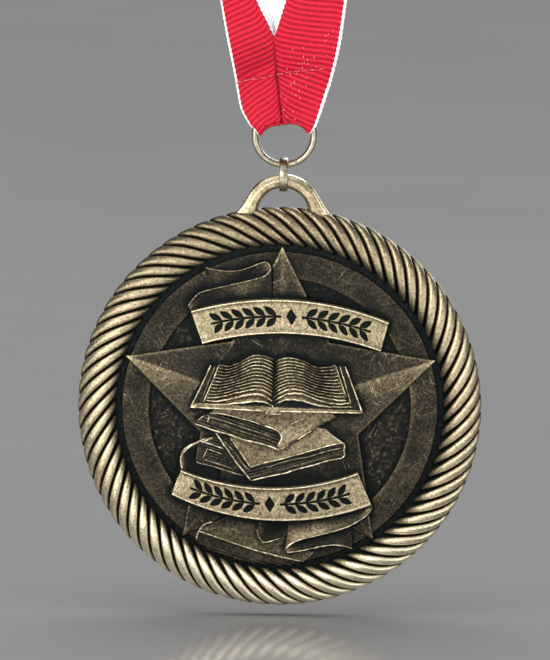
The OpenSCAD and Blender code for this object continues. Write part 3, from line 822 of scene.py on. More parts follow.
# the curves of the open book's pages, left page and right page, from the top one down; mm
pageCurves = {
    "left": [
        [
            (-7.67, 5.56), (-6.6, 5.45), (-5.6, 5.7), (-4.66, 6.2), (-3.8, 6.7), (-3.1, 6.9), (-2.2, 6.87),
            (-1.45, 6.65), (-0.87, 6.3),
        ],
        [
            (-9.2, 1.4), (-8.2, 1.42), (-7.2, 1.6), (-6, 1.95), (-5.05, 2.2), (-3.9, 2.5), (-2.8, 2.6),
            (-1.95, 2.35), (-0.97, 1.75),
        ],
        [
            (-9.3, 1.02), (-7.77, 0.93), (-6.8, 1.15), (-5.5, 1.45), (-4.47, 1.8), (-3.5, 1.93),
            (-2.5, 1.95), (-1.65, 1.55), (-1, 1.05),
        ],
        [
            (-9.45, 0.55), (-7.2, 0.47), (-6, 0.62), (-4.65, 0.75), (-3.8, 0.9), (-2.7, 0.97),
            (-1.65, 0.78), (-1, 0.45),
        ],
    ],
    "right": [
        [
            (-0.65, 6.1), (0, 6.45), (0.93, 6.7), (1.87, 6.6), (2.8, 6.3), (3.56, 5.9), (4.3, 5.55),
            (5.1, 5.42), (6.2, 5.55), (6.87, 5.75),
        ],
        [
            (-0.78, 1.55), (0, 2.1), (0.95, 2.6), (2, 2.66), (2.95, 2.47), (4.1, 2.03), (5.1, 1.7),
            (6.2, 1.5), (7.2, 1.3), (8.3, 1.3),
        ],
        [
            (-0.7, 1.15), (0.1, 1.6), (1.05, 2.1), (2.6, 2.15), (3.9, 1.7), (4.95, 1.3), (6, 0.95),
            (7.4, 0.8), (8.75, 1),
        ],
        [
            (-0.72, 0.5), (0, 0.92), (0.8, 1.25), (1.9, 1.25), (2.95, 1.08), (4.1, 0.75), (4.95, 0.55),
            (5.8, 0.42), (7.05, 0.4), (9, 0.45),
        ],
    ],
}
# how high the open pages stand over the field: places across, heights
pageProfile = (
    [-9.9, -7.9, -5.9, -3.9, -2.6, -1.5, -0.88, -0.74, -0.6, -0.3, 0.7, 2.3, 4.4, 6.6, 9.3],
    [1.75, 1.75, 1.95, 2.15, 2.15, 1.88, 1.58, 1.48, 1.58, 1.88, 2.15, 2.15, 1.95, 1.75, 1.75],
)
# outlines of the open book's cover and of the closed books from the top one down; mm
bookOutlines = {
    "openCover": [
        (-8.89, 5.52), (-11.29, 0.04), (-1.74, -0.32), (-1.74, -0.66), (0.04, -0.7), (0.04, -0.36),
        (10.51, -0.39), (8.26, 5.67),
    ],
    "upperCover": [
        (-8.67, -0.6), (-7.3, -0.72), (-5, -1.2), (-3.1, -1.7), (-2.2, -2.07), (-1.25, -2.31),
        (-0.37, -2.65), (0.05, -3.05), (0.3, -3.6), (0.12, -4.1), (-0.2, -4.65), (-0.04, -5.3), (0.4, -5),
        (1, -4.6), (2, -4), (4, -2.7), (5.6, -1.75), (7.1, -0.93), (6.6, -0.2), (-8.2, -0.1),
    ],
    "upperPages": [
        (-10.78, -2.13), (-8, -2.95), (-6.4, -3.4), (-4.35, -4.05), (-2.8, -4.4), (-1.56, -4.7),
        (-0.04, -5.3), (0.3, -5), (0.39, -3), (-0.6, -2.5), (-8.67, -0.58), (-9.6, -0.9),
    ],
    "middleCover": [
        (-6.2, -3.65), (-3.5, -7.55), (-2.2, -7.05), (-0.17, -6.55), (1.86, -5.98), (4, -5.3), (6.04, -4.7),
        (8.2, -4.3), (5.84, -2.45), (4.6, -2.2), (2.2, -3.6), (0.3, -4.9), (-1.4, -4.4), (-4.3, -3.6),
    ],
    "middlePages": [
        (-8.1, -3.1), (-6.9, -4.95), (-5.35, -7.1), (-3.5, -9.25), (-1.25, -8.7), (0.8, -8.24),
        (2.06, -7.8), (4.1, -7.24), (6.3, -6.54), (8, -6.25), (8.35, -5.7), (8.3, -4.3), (6, -4),
        (-3.4, -6.9), (-6, -3.3),
    ],
    "leftBook": [
        (-10.3, -4.45), (-9.6, -4.35), (-8.3, -3.75), (-6.5, -3.2), (-3, -8.6), (-4.5, -8.75), (-5.3, -8.5),
        (-8, -7.7), (-10.1, -7.2), (-10.45, -6.9),
    ],
    "lastCover": [
        (-9.9, -15.7), (-8, -14.7), (-5, -13), (3, -13.6), (2.2, -17), (4.66, -18.5), (3.2, -19.8),
        (0.6, -19.2), (-0.95, -18.8), (-3, -18.3), (-7, -17),
    ],
    "lastPages": [
        (-10.3, -17.4), (-8.6, -18.45), (-5.5, -19.6), (-3.5, -20), (1.6, -20.3), (3.2, -19.98),
        (-9.9, -15.6),
    ],
}


def pages(side):
    curves = [splineThrough(c, openBook["columns"]) for c in pageCurves[side]]
    for c in curves:
        c[:, 1] += 0.045 * latticeNoise(c[:, 0], 3.0, 0.5, 50)
    lines, valley = openBook["lineCount"], openBook["valleyTone"]
    gutter = curves[0][-1 if side == "left" else 0, 0]
    rows, wear = [], []
    levels = [*np.linspace(0, 1, lines * openBook["rowsPerLine"] + 1), *np.linspace(1, 3, 37)[1:]]
    for level in levels:
        k = min(int(level), 2)
        x, y = (curves[k] * (1 - (level - k)) + curves[k + 1] * (level - k)).T
        broken = 0.6 * latticeNoise(x, 0.9 * y, 0.55, 51) + 0.6 * latticeNoise(x, y, 0.24, 55)
        if level <= 1:  # the printed lines, then the edges of the pages
            turns, strength = level * lines + 0.16 * latticeNoise(x, 0.7 * y, 1.3, 53), 1.0 + 0.45 * broken
        else:
            turns, strength = level - 1, 1.35 + 0.2 * broken
        crest = 0.5 + 0.5 * np.cos(2 * pi * turns)
        h = np.interp(x, *pageProfile) + field - 0.10 * max(level - 1, 0)
        h += openBook["lineHeight"] * strength * (2 * crest**0.8 - 1) + 0.02 * latticeNoise(x, y, 0.3, 52)
        tone = valley + (openBook["lineTone"] - valley) * crest**2.6 * (1 + 0.80 * broken)
        tone -= 0.26 * bell(x, openBook["sag"][side], 2.2) * (1 - 0.5 * max(0.0, level - 0.6))
        tone += 0.12 * smoothStep(level, 0.75, 1.2) - 0.30 * np.exp(-np.abs(x - gutter) / 0.35)
        rows.append(np.column_stack([x, y, h]))
        wear.append(tone)
    grid = np.array(rows)
    faces = gridFaces(*grid.shape[:2])
    return closeDown(grid.reshape(-1, 3), faces, wear, field * 0.7, 0.08)


def slab(name, height, rise, tone, seed, spacing=0.2, lines=None):
    # height is over the field at the middle, rise per mm up; lines are the page edges' angle, pitch and depth
    points, faces = fillOutline(bookOutlines[name], spacing)
    x, y = points.T
    h = field + height + rise * y + bumps(x, y, seed, (0.030, 0.5), (0.018, 0.24))
    h -= 0.10 * (1 - smoothStep(edgeDistance(points, bookOutlines[name]), 0.0, 0.16))
    wear = (tone(x, y) if callable(tone) else tone) + 0.06 * latticeNoise(x, y, 0.35, seed + 2)
    if lines:
        angle, pitch, depth = lines
        across = y * cos(radians(angle)) - x * sin(radians(angle))
        ridge = np.cos(2 * pi * across / pitch + 0.9 * latticeNoise(x, y, 1.6, seed + 3))
        h += depth * ridge
        wear = wear + 0.24 * ridge * (0.6 + 0.5 * latticeNoise(x, y, 1.1, seed + 4))
    root = field * (0.75 - 0.003 * (seed % 40))  # no two slabs stand on one level
    return closeDown(np.column_stack([x, y, h]), faces, wear, root, 0.05)


def coverTone(x, y):
    # dark beside the pages, rubbed brown along the front bevel
    return 0.07 + 0.55 * smoothStep(0.42 - 0.03 * x - y, 0.0, 0.25)


def buildBooks():
    cover = slab("openCover", 1.60, -0.02, coverTone, 61)
    medalPiece("openBook", reliefBrass, cover, pages("left"), pages("right"))
    medalPiece(
        "closedBooks", reliefBrass,
        # painted shadow: this cover is painted darker along its top edge, under the open book
        slab("upperCover", 1.60, -0.02, lambda x, y: 0.36 + 0.17 * smoothStep(-y, 0.8, 3.4), 65),
        slab("upperPages", 1.42, -0.02, 0.15, 69, spacing=0.15, lines=(-19.0, 0.42, 0.045)),
        slab("middleCover", 1.24, -0.01, lambda x, y: 0.44 + 0.08 * smoothStep(x, -3.0, 3.0), 74),
        slab("middlePages", 1.06, -0.01, 0.15, 79, spacing=0.15, lines=(15.5, 0.40, 0.045)),
        slab("leftBook", 1.0, 0.0, 0.14, 84, spacing=0.15, lines=(-15.0, 0.36, 0.045)),
        slab("lastCover", 0.58, 0.0, lambda x, y: 0.34 - 0.14 * smoothStep(y, -15.6, -14.2), 89),
        slab("lastPages", 0.44, 0.0, 0.14, 94, spacing=0.16, lines=(-17.0, 0.40, 0.04)),
    )


# Edge beads, laid on the relief

bead = {"spacing": 0.11, "sides": 8, "rise": 0.25, "waver": 0.018, "thin": 0.86}
# raised edge lines: points, half thickness in mm, tone
edgeLines = [
    # open book: cover sides, bottom edges and spine
    ([(-8.75, 5.45), (-9.9, 2.8), (-11.2, 0.05)], 0.13, 0.9),
    ([(8.14, 5.55), (9.2, 2.8), (10.35, -0.2)], 0.13, 0.9),
    ([(-11.15, 0.12), (-8, 0), (-5, -0.1), (-1.9, -0.21)], 0.14, 0.96),
    ([(0.05, -0.24), (4, -0.25), (10.35, -0.27)], 0.14, 0.96),
    ([(-1.66, -0.25), (-1.64, -0.56), (-0.06, -0.6), (-0.04, -0.25)], 0.1, 0.86),
    ([(-0.95, 0), (-0.9, 0.5)], 0.12, 0.92),
    ([(-10.9, 0.45), (-8, 0.28), (-5, 0.2), (-1.6, 0.12)], 0.1, 0.62),
    ([(0.2, 0.15), (5, 0.02), (9.9, -0.02)], 0.1, 0.62),
    ([(-7.67, 5.56), (-8.6, 3.2), (-9.6, 0.85)], 0.1, 0.9),
    ([(-8.25, 5.25), (-9.1, 3), (-9.9, 0.9)], 0.07, 0.55),
    ([(6.87, 5.75), (7.6, 3.7), (8.3, 1.65)], 0.1, 0.9),
    ([(7.45, 5.65), (8.2, 3.2), (8.93, 0.8)], 0.09, 0.8),
    # upper closed book
    ([(-8.9, -0.65), (-7.3, -0.68), (-5, -1.2), (-3.1, -1.7), (-2.2, -2.07), (-1.25, -2.31), (-0.37, -2.65),
        (0.05, -3.05), (0.3, -3.6), (0.12, -4.1), (-0.2, -4.65)], 0.12, 0.88),
    ([(-10.7, -2), (-8, -2.9), (-6.4, -3.3), (-4.35, -4), (-2.8, -4.3), (-1.56, -4.6),
        (0, -5.2)], 0.14, 0.95),
    ([(-10.7, -2), (-10.1, -1.45), (-9.48, -0.93)], 0.12, 0.85),
    ([(-8.9, -1), (-8.95, -1.45), (-9.1, -1.9)], 0.14, 0.85),
    ([(-8.86, -1.15), (-7.04, -1.6), (-3.87, -2.6), (-1.08, -3.45)], 0.08, 0.7),
    ([(-9, -1.6), (-7.2, -2.1), (-4.6, -2.95), (-1.2, -3.9)], 0.07, 0.55),
    ([(0.2, -5.1), (1, -4.6), (2, -4), (4, -2.7), (5, -2.3)], 0.09, 0.82),
    ([(1.2, -2), (2.2, -1.55), (2.7, -1.9)], 0.09, 0.76), ([(2.4, -1.4), (3.6, -0.8)], 0.08, 0.72),
    # middle book
    ([(-6.2, -3.8), (-4.8, -5.7), (-3.6, -7.5)], 0.12, 0.86),
    ([(-3.6, -7.5), (-2.2, -7), (-0.17, -6.5), (1.86, -5.93), (4, -5.26), (6.04, -4.65), (7.5, -4.25),
        (8.1, -4.3)], 0.12, 0.9),
    ([(5.6, -2.5), (6.6, -3.3), (7.8, -4.1), (8.2, -4.5), (8.15, -5.2), (8.25, -5.8),
        (7.9, -6.2)], 0.14, 0.9),
    ([(-1.3, -7.5), (-0.1, -7), (2, -6.4), (3.6, -6.1), (5.85, -5.35), (7.7, -4.9)], 0.08, 0.62),
    ([(-3.3, -8.65), (-1.2, -8.05), (1, -7.5), (4, -6.65), (7.6, -5.6)], 0.07, 0.5),
    ([(-3.4, -9.2), (-1.25, -8.66), (0.8, -8.2), (2.06, -7.76), (4.1, -7.2), (5.46, -6.75), (6.3, -6.5),
        (7.9, -6.2)], 0.12, 0.92),
    ([(-8, -3.2), (-6.85, -4.85), (-5.3, -7), (-3.5, -9.2)], 0.13, 0.9),
    ([(-6.95, -4.2), (-5.4, -5.9), (-4.35, -7.3), (-3.6, -7.97)], 0.08, 0.66),
    # left book
    ([(-9.6, -4.4), (-8.4, -3.85)], 0.12, 0.88), ([(-10.2, -4.4), (-9.4, -4.45), (-7, -5.2)], 0.11, 0.88),
    ([(-8.9, -5.3), (-8.2, -5.55), (-7.2, -5.9)], 0.1, 0.72),
    ([(-9, -5.2), (-9.3, -5.9), (-9.6, -6.5)], 0.1, 0.75),
    ([(-9.4, -6.6), (-7.2, -7.3), (-5.9, -7.7)], 0.09, 0.7),
    ([(-10.4, -6.9), (-10.1, -7.1), (-8, -7.6), (-5.3, -8.4), (-4.55, -8.6)], 0.1, 0.76),
    ([(-10.2, -5.1), (-10.4, -6.9)], 0.07, 0.5),
    # bottom book
    ([(-10, -15.9), (-7, -16.9), (-3, -18.2), (-0.95, -18.7), (0.6, -19.1), (3, -19.6)], 0.12, 0.86),
    ([(-10, -15.9), (-10.4, -17.4)], 0.16, 0.8), ([(-10, -15.9), (-9.2, -15), (-8.2, -14.7)], 0.12, 0.85),
    ([(3.2, -19.6), (4, -18.9), (4.6, -18.3)], 0.1, 0.6),
    ([(-9.6, -17.6), (-7, -18.4), (-4, -19.2)], 0.07, 0.42),
    # where the scrolls' ends turn over
    ([(1.9, -17.05), (1.35, -17.5), (1.08, -17.95), (1.12, -18.35), (1.45, -18.42),
        (2.2, -18.27)], 0.12, 0.88),
    ([(9.9, -8.1), (10.6, -9.8), (11.7, -12.3), (11.6, -12.9), (11.3, -13.4)], 0.15, 0.86),
    ([(-12.4, -7.9), (-13, -10), (-13.6, -11)], 0.13, 0.86),
    ([(-10.2, -4.5), (-11.3, -5.1), (-12.2, -6.1), (-12.38, -6.9), (-12.2, -7.8)], 0.13, 0.86),
    # the lower scroll's hidden roll, seen again under the band
    ([(-2.1, -17.3), (-1.5, -17.2), (-0.2, -16.8), (0.2, -16.6)], 0.09, 0.55),
]


def makeBeadTree():
    # rounds the drawn edge lines of the relief into beads
    t = GeometryTree("reliefBeads", sides=int, paint="material")
    curve = t.node("GeometryNodeMeshToCurve", None, Mesh=t.get("Geometry"))
    ring = t.node("GeometryNodeCurvePrimitiveCircle", {"mode": "RADIUS"}, Resolution=t.get("sides"))
    ring.inputs["Radius"].default_value = 1.0
    tube = t.node(
        "GeometryNodeCurveToMesh", None, Curve=curve.outputs[0], Profile_Curve=ring.outputs[0],
        Scale=t.attribute("thickness"), Fill_Caps=True,
    )
    t.finish(tube)
    return t


def buildBeads():
    # beads follow the surface below them, found by casting rays down on the medal
    tree = gatherFlat()
    points, edges, thickness, wear = [], [], [], []
    for line, radius, tone in edgeLines + beadLines:
        line = np.array(line, float)
        count = max(6, int(lengthAlong(line[:, :2])[-1] / bead["spacing"]))
        path = splineThrough(line, count)
        if path.shape[1] == 2:
            heights = np.array([heightUnder(tree, x, y, field) for x, y in path])
            soft = np.convolve(np.pad(heights, 3, mode="edge"), np.ones(7) / 7, mode="valid")
            path = np.column_stack([path, np.maximum(heights, soft) + bead["rise"] * radius])
        x, y, h = path.T
        waver = [bead["waver"] * latticeNoise(x, y, 0.6, seed) for seed in (101, 102)]
        ends = np.minimum(np.arange(count), np.arange(count)[::-1]) * bead["spacing"]
        size = bead["thin"] * radius * (1 + 0.24 * latticeNoise(x, y, 0.35, 103))
        start = len(points)
        points += np.column_stack([x + waver[0], y + waver[1], h]).tolist()
        edges += [(start + i, start + i + 1) for i in range(count - 1)]
        thickness += (size * (0.45 + 0.55 * smoothStep(ends, 0.0, 0.30)) * mm).tolist()
        wear += (tone * (0.86 + 0.22 * latticeNoise(x, y, 0.5, 104))).tolist()
    layers = {"thickness": thickness, "wear": wear, "cavity": [0.0] * len(points)}
    source = meshObject("beadPaths", standUp(points), [], edges, **layers)
    medalPieces.append(makeBeadTree().apply("edgeBeads", source, sides=bead["sides"], paint=reliefBrass))


# Bail

bail = {
    "eyeRadius": 3.17, "band": 1.73, "depth": 1.84, "rise": 24.62, "steps": 120, "legs": 16, "footReach": 1.0,
    "flareFrom": 30.0, "flare": 0.95, "section": [(-1, 0.27), (-0.58, 0.78), (0.12, 1), (1, 0.54)],
}


def bailSection():
    # section corners as (out from the eye, depth), gone round once, with points close to each edge
    corners = bail["section"] + [(p, -q) for p, q in bail["section"][::-1]]
    corners = np.array(corners) * [bail["band"] / 2, bail["depth"] / 2]
    return np.array([a + (b - a) * s for a, b in sides(corners) for s in (0.10, 0.24, 0.5, 0.76, 0.90)])


def buildBail():
    section, n, legs = bailSection(), bail["steps"], bail["legs"]
    half, rows, wear = bail["band"] / 2, [], []
    for k in range(-legs, n + legs + 1):
        a, down = pi * min(max(k, 0), n) / n, max(0, -k, k - n) / legs
        out = np.array([cos(a), sin(a)])
        centre = (bail["eyeRadius"] + half) * out - [0, bail["footReach"] * down]
        fromFoot = 180 * max(0, min(k, n - k)) / n
        spread = bail["flare"] * max(0.0, 1 - fromFoot / bail["flareFrom"]) ** 2.2 * (1 + 0.5 * down)
        for p, q in section:
            x, y = centre + out * p + [np.sign(out[0]) * spread * ((p / half + 1) / 2) ** 1.3, bail["rise"]]
            rows.append([x, y, medalPlace["plumb"] + q * (1 - 0.30 * down)])
            wear.append(0.82 if abs(p) > 0.62 else 0.64)
    flat, m = np.array(rows), len(section)
    flat[:, 2] += 0.012 * latticeNoise(flat[:, 0], flat[:, 1], 0.5, 111)
    faces = gridFaces(len(flat) // m, m, closedColumns=True)
    faces += [list(range(m)), list(range(len(flat) - m, len(flat)))[::-1]]
    wear = np.array(wear) + 0.08 * latticeNoise(flat[:, 0], flat[:, 1], 0.6, 112)
    medalPiece("bail", bailBrass, (flat, faces, wear))


# How deep each spot of the medal lies below its surroundings

cavityMap = {"reach": 27.0, "pitch": 0.2, "slack": 0.04, "blurs": [(0.36, 1.5), (1.3, 0.42)]}


def softened(grid, sigma):
    size = int(3 * sigma / cavityMap["pitch"]) + 1
    kernel = np.exp(-0.5 * (np.arange(-size, size + 1) * cavityMap["pitch"] / sigma) ** 2)
    kernel /= kernel.sum()
    for axis in (0, 1):
        padded = np.pad(grid, [(size, size) if a == axis else (0, 0) for a in (0, 1)], mode="edge")
        grid = np.apply_along_axis(lambda line: np.convolve(line, kernel, mode="valid"), axis, padded)
    return grid


def markCavities():
    tree, reach, pitch = gatherFlat(), cavityMap["reach"], cavityMap["pitch"]
    ticks = np.arange(-reach, reach + 1e-6, pitch)
    heights = np.array([[heightUnder(tree, x, y, 0.0) for y in ticks] for x in ticks])
    blurs = [(softened(heights, sigma), weight) for sigma, weight in cavityMap["blurs"]]
    for obj in medalPieces:
        x, y, h = flatCoordinates(obj).T
        u, v = (np.clip((place - ticks[0]) / pitch, 0, len(ticks) - 1.001) for place in (x, y))
        i, j = u.astype(int), v.astype(int)
        deep = 0.0
        for grid, weight in blurs:
            below = between(grid, i, j, u - i, v - j) - h - cavityMap["slack"]
            deep += weight * np.clip(below, -0.12, 1.0)
        deep *= smoothStep(h, 0.3, 1.0)  # the flat back isn't hollow
        layer = obj.data.attributes.get("cavity") or obj.data.attributes.new("cavity", "FLOAT", "POINT")
        layer.data.foreach_set("value", np.clip(deep, -0.1, 1.0).astype(np.float32))


buildDisc()
buildRingBand()
buildRope()
print("disc, ring band and rope rim made")
for name, arcs in scrollArcs.items():
    buildScroll(name + "Scroll", arcs)
buildStar()
for order, (name, rows) in enumerate(foldRows.items()):
    buildFold(name, rows, order + 2)
print("star and scrolls made")
buildBooks()
buildBeads()
print("books and edge beads made")
buildBail()
markCavities()
print("bail made, cavities marked")


# Connecting link and ribbon ring

link = {"centre": -374.345, "inner": 1.77, "thickness": 0.36, "width": 1.04, "round": 0.10, "steps": 96}
ring = {
    "centre": -369.41, "radius": 3.67, "wire": 0.81, "steps": 160, "around": 24, "jointAt": -62.0,
    "jointDip": (0.16, 0.03),
}


def makePaleMetal():
    n = Material("paleMetal")
    fine, brushed = n.noise(3.5, 3.0, 0.6), n.noise(1.2, 2.0, 0.5, stretch=(1, 9, 1))
    tones = [(0.3, (0.20, 0.18, 0.12)), (0.5, (0.29, 0.265, 0.20)), (0.75, (0.42, 0.395, 0.32))]
    return n.shade(
        Base_Color=n.ramp(n.add(n.times(fine, 0.25), n.times(brushed, 0.75)), tones), Metallic=1.0,
        Roughness=n.remap(fine, 0.3, 0.8, 0.28, 0.42), Normal=n.bump(n.add(fine, brushed), 0.10, 0.02),
    )


def placed(points):
    return [tuple(c * mm for c in p) for p in points]


def buildLink():
    half, t, r = link["width"] / 2, link["thickness"], link["round"]
    corner = [(cos(radians(a)), sin(radians(a))) for a in (10, 45, 80)]
    section = []
    for sx, sy in ((1, 1), (-1, 1), (-1, -1), (1, -1)):
        middle = link["inner"] + t / 2
        part = [(sx * (half - r + r * c), middle + sy * (t / 2 - r + r * s)) for c, s in corner]
        section += part if sx * sy > 0 else part[::-1]
    a, x, reach = turned(section, link["steps"])
    rows = np.column_stack([x, reach * np.cos(a), link["centre"] + reach * np.sin(a)])
    faces = gridFaces(link["steps"], len(section), True, True)
    return meshObject("connectingLink", placed(rows), faces, material=paleMetal)


def buildRing():
    rows, steps = [], ring["steps"]
    for k in range(steps):
        a = 2 * pi * k / steps + radians(ring["jointAt"])
        # the wire's two ends meet in a hair-thin closed joint
        seam = min(k, steps - k)
        radius = ring["wire"] / 2 * (1 - (ring["jointDip"][seam] if seam < 2 else 0))
        for b in (2 * pi * i / ring["around"] for i in range(ring["around"])):
            out = ring["radius"] + radius * cos(b)
            rows.append((out * cos(a), radius * sin(b), ring["centre"] + out * sin(a)))
    faces = gridFaces(steps, ring["around"], True, True)
    return meshObject("ribbonRing", placed(rows), faces, material=paleMetal)


paleMetal = makePaleMetal()
connectingLink = buildLink()
ribbonRing = buildRing()
print("link and ring made")


# Neck ribbon

ribbon = {
    "width": 22.0, "whiteHalf": 3.45, "selvage": 0.32, "thickness": 0.42, "pitch": 0.68, "ribDepth": 0.048,
    "yarn": 0.27, "columns": 46, "fineRows": 0.135, "coarseRows": 1.6, "shapedTo": 30.0, "wireTop": -365.74,
    "wireGap": 0.555, "holeRadius": 3.115, "bulk": 1.75, "wall": 1.0, "creaseRise": 4.1, "creaseInner": 0.128,
    "creaseSlant": 0.17, "creaseDent": 0.20, "creaseMiddle": -1.1, "start": 0.62, "lean": 10.2, "pleat": 32.0,
    "strap": 302.2, "neckRadius": 55.0, "neckCentre": -54.5, "stripeAt": 0.327, "chevron": (4.6, 2.0),
    "tabChevron": (6.0, 4.4), "ribMiddle": -0.4, "creaseShadeFrom": 6.2, "seamDip": 0.42, "closedTo": 0.140,
    "tabShare": 0.90, "tabInset": 0.46, "tabThickness": 0.34, "tabMiddle": -0.7,
}
ribbonTones = {
    "red": [(0.0, (0.20, 0.001, 0.009)), (0.5, (0.38, 0.004, 0.018)), (1.0, (0.52, 0.012, 0.038))],
    "white": [(0.0, (0.54, 0.51, 0.55)), (0.5, (0.63, 0.61, 0.64)), (1.0, (0.74, 0.73, 0.75))],
}
halfWidth = ribbon["width"] / 2
fiveAcross = np.array([-1, -ribbon["stripeAt"], 0, ribbon["stripeAt"], 1]) * halfWidth
# turn, five places across in hole radii, bulk at the left edge, the stripes, the middle and the right edge
foldTable = [
    (0, -0.95, -0.115, -0.127, -0.14, 0.94, 0.74, 1.12, 0.72, 0.56),
    (35, -1.06, -0.115, -0.127, -0.14, 1.08, 0.74, 1.12, 0.72, 0.56),
    (62, -1.19, -0.123, -0.135, -0.147, 1.19, 0.74, 1.02, 0.64, 0.6),
    (82, -1.4, -0.146, -0.16, -0.174, 1.29, 0.74, 0.92, 0.52, 0.66),
]
# height share, forward share, five places in half widths, depth, bunching, drop share
tabTable = [
    (0.244, 0.87, -0.501, -0.052, -0.062, -0.072, 0.43, 1.15, 0.33, 0.55),
    (0.561, 0.52, -0.541, -0.065, -0.075, -0.085, 0.485, 2, 0.2, 0.2),
    (0.829, 0.17, -0.564, -0.082, -0.092, -0.102, 0.527, 3.2, 0.07, 0.05),
]
# share of the pleat, five places in half widths, depth at the stripes and in the middle
pleatTable = [
    (0, -0.577, -0.093, -0.103, -0.113, 0.543, 0, 4),
    (0.081, -0.627, -0.106, -0.115, -0.124, 0.595, 0.1, 1.6),
    (0.14, -0.664, -0.124, -0.129, -0.134, 0.626, 0.2, 1.2),
    (0.19, -0.69, -0.19, -0.135, -0.09, 0.645, 0.28, 1.05),
    (0.319, -0.755, -0.361, -0.17, 0.027, 0.687, 0.42, 0.9),
    (0.5, -0.855, -0.4, -0.12, 0.16, 0.809, 0.3, 0.51),
    (0.719, -0.936, -0.38, -0.06, 0.255, 0.918, 0.12, 0.19), (1, -1, -0.327, 0, 0.327, 1, 0, 0),
]
creaseRow = len(foldTable) + len(tabTable)  # the first row of the pleat lies on the stitched crease


def wireDrop(x):
    # how far the cloth over the wire falls towards the ring's sides
    hole = ribbon["holeRadius"]
    return hole - np.sqrt(hole**2 - np.minimum(np.abs(x), 0.93 * hole) ** 2)


def ribbonRows():
    # the outer face of the front half as rows of five points, the way it looks, and its share of the drop
    r, rows, outs, drops = ribbon, [], [], []

    def addRow(xs, yz, out, drop=0.0):
        rows.append(np.column_stack([xs, np.broadcast_to(yz, (5, 2))]))
        outs.append(out)
        drops.append(drop)

    for turn, *xs, left, thick, deep, right in foldTable:
        out = np.array([-sin(radians(turn)), -cos(radians(turn))])
        away = r["wireGap"] + r["bulk"] * np.array([left, thick, deep, thick, right])
        addRow(np.array(xs) * r["holeRadius"], [0, r["wireTop"]] + out * away[:, None], out, 1.0)
    for rise, forward, *xs, depth, bunch, drop in tabTable:
        reach = r["creaseInner"] + forward * (r["wireGap"] - r["creaseInner"])
        wall = r["wall"] + bunch * (r["bulk"] - r["wall"])
        y, z = np.array([0, 0, depth * reach, 0, 0]) - reach - wall, r["wireTop"] + rise * r["creaseRise"]
        addRow(np.array(xs) * halfWidth, np.column_stack([y, np.full(5, z)]), np.array([-1.0, 0.0]), drop)
    lean = radians(r["lean"])
    out, way = np.array([-cos(lean), -sin(lean)]), np.array([-sin(lean), cos(lean)])
    base = np.array([-r["start"], r["wireTop"] + r["creaseRise"]]) + out * r["wall"] / 2
    for share, *xs, stripe, middle in pleatTable:
        back = r["creaseInner"] + share * r["pleat"] * sin(lean)
        deep = np.array([0, stripe, middle, stripe, 0])[:, None] * back
        addRow(np.array(xs) * halfWidth, base + way * share * r["pleat"] - out * deep, out)
    for share in (0.25, 0.5, 0.75):
        addRow(fiveAcross, base + way * (r["pleat"] + share * (r["strap"] - r["pleat"])), out)
    for angle in np.radians(np.linspace(180 + r["lean"], 90, 15)):
        out = np.array([cos(angle), sin(angle)])
        addRow(fiveAcross, np.array([0, r["neckCentre"]]) + out * (r["neckRadius"] + r["wall"] / 2), out)
    return np.array(rows), np.array(outs), np.array(drops)


def ribbonShape():
    # the whole loop, front half and mirrored back half, by distance from the fold
    rows, outs, drops = ribbonRows()
    whole = np.concatenate([rows, rows[-2:0:-1] * [1, -1, 1], rows[:1]])
    ways = np.concatenate([outs, outs[-2:0:-1] * [-1, 1], outs[:1]])
    return lengthAlong(whole[:, 1, 1:]), whole, ways, np.concatenate([drops, drops[-2:0:-1], drops[:1]])


loopRun, loopRows, loopWays, loopDrops = ribbonShape()
loopLength, creaseAt = loopRun[-1], loopRun[creaseRow]


def curveThrough(stops, values, at):
    # smooth run through values at the stops, without overshoot
    h = np.diff(stops)
    shape = (-1,) + (1,) * (values.ndim - 1)
    slope = np.diff(values, axis=0) / h.reshape(shape)
    a, b = slope[:-1], slope[1:]
    with np.errstate(divide="ignore", invalid="ignore"):
        inner = np.where(a * b > 0, 2 * a * b / (a + b), 0)
    tangent = np.concatenate([slope[:1], inner, slope[-1:]])
    k = np.clip(np.searchsorted(stops, at, side="right") - 1, 0, len(stops) - 2)
    s, step = ((at - stops[k]) / h[k]).reshape(shape), h[k].reshape(shape)
    return (
        values[k] * (1 + 2 * s) * (1 - s) ** 2 + tangent[k] * step * s * (1 - s) ** 2
        + values[k + 1] * s**2 * (3 - 2 * s) + tangent[k + 1] * step * s**2 * (s - 1)
    )


def fromFold(at):
    return np.minimum(at, loopLength - at)


def pastCrease(at, x):
    # how far above the slanted crease each point lies
    return fromFold(at)[:, None] - creaseAt - ribbon["creaseSlant"] * (x - ribbon["creaseMiddle"])


def ribbonSurface(at, u, inset=0.0):
    # points of the outer face at these distances and widths, moved in by inset, and the way that face looks
    wide, out = curveThrough(loopRun, loopRows, at), curveThrough(loopRun, loopWays, at)
    out /= np.linalg.norm(out, axis=1)[:, None]
    grid = np.stack([curveThrough(fiveAcross, row, u) for row in wide])
    grid[:, :, 2] -= np.interp(at, loopRun, loopDrops)[:, None] * wireDrop(grid[:, :, 0])
    # the stitched crease draws the cloth in, and the two halves roll into the seam between them
    above, side = pastCrease(at, grid[:, :, 0]), np.abs(u)
    hollow = smoothStep(above, -0.2, 0.5) * np.exp(-np.maximum(above, 0) / 2.6)
    dent = ribbon["creaseDent"] * bell(above, 0, 0.45) + 0.42 * hollow
    seam = ribbon["closedTo"] * ribbon["pleat"]
    closed = 1 - smoothStep(fromFold(at), creaseAt + 0.7 * seam, creaseAt + 1.25 * seam)
    push = inset + dent * (1 - smoothStep(side, halfWidth - 3.0, halfWidth))
    push += ribbon["seamDip"] * (1 - 0.7 * hollow) * closed[:, None] * (1 - smoothStep(side, 3.5, 5.4))
    grid[:, :, 1:] -= out[:, None, :] * push[:, :, None]
    return grid, out


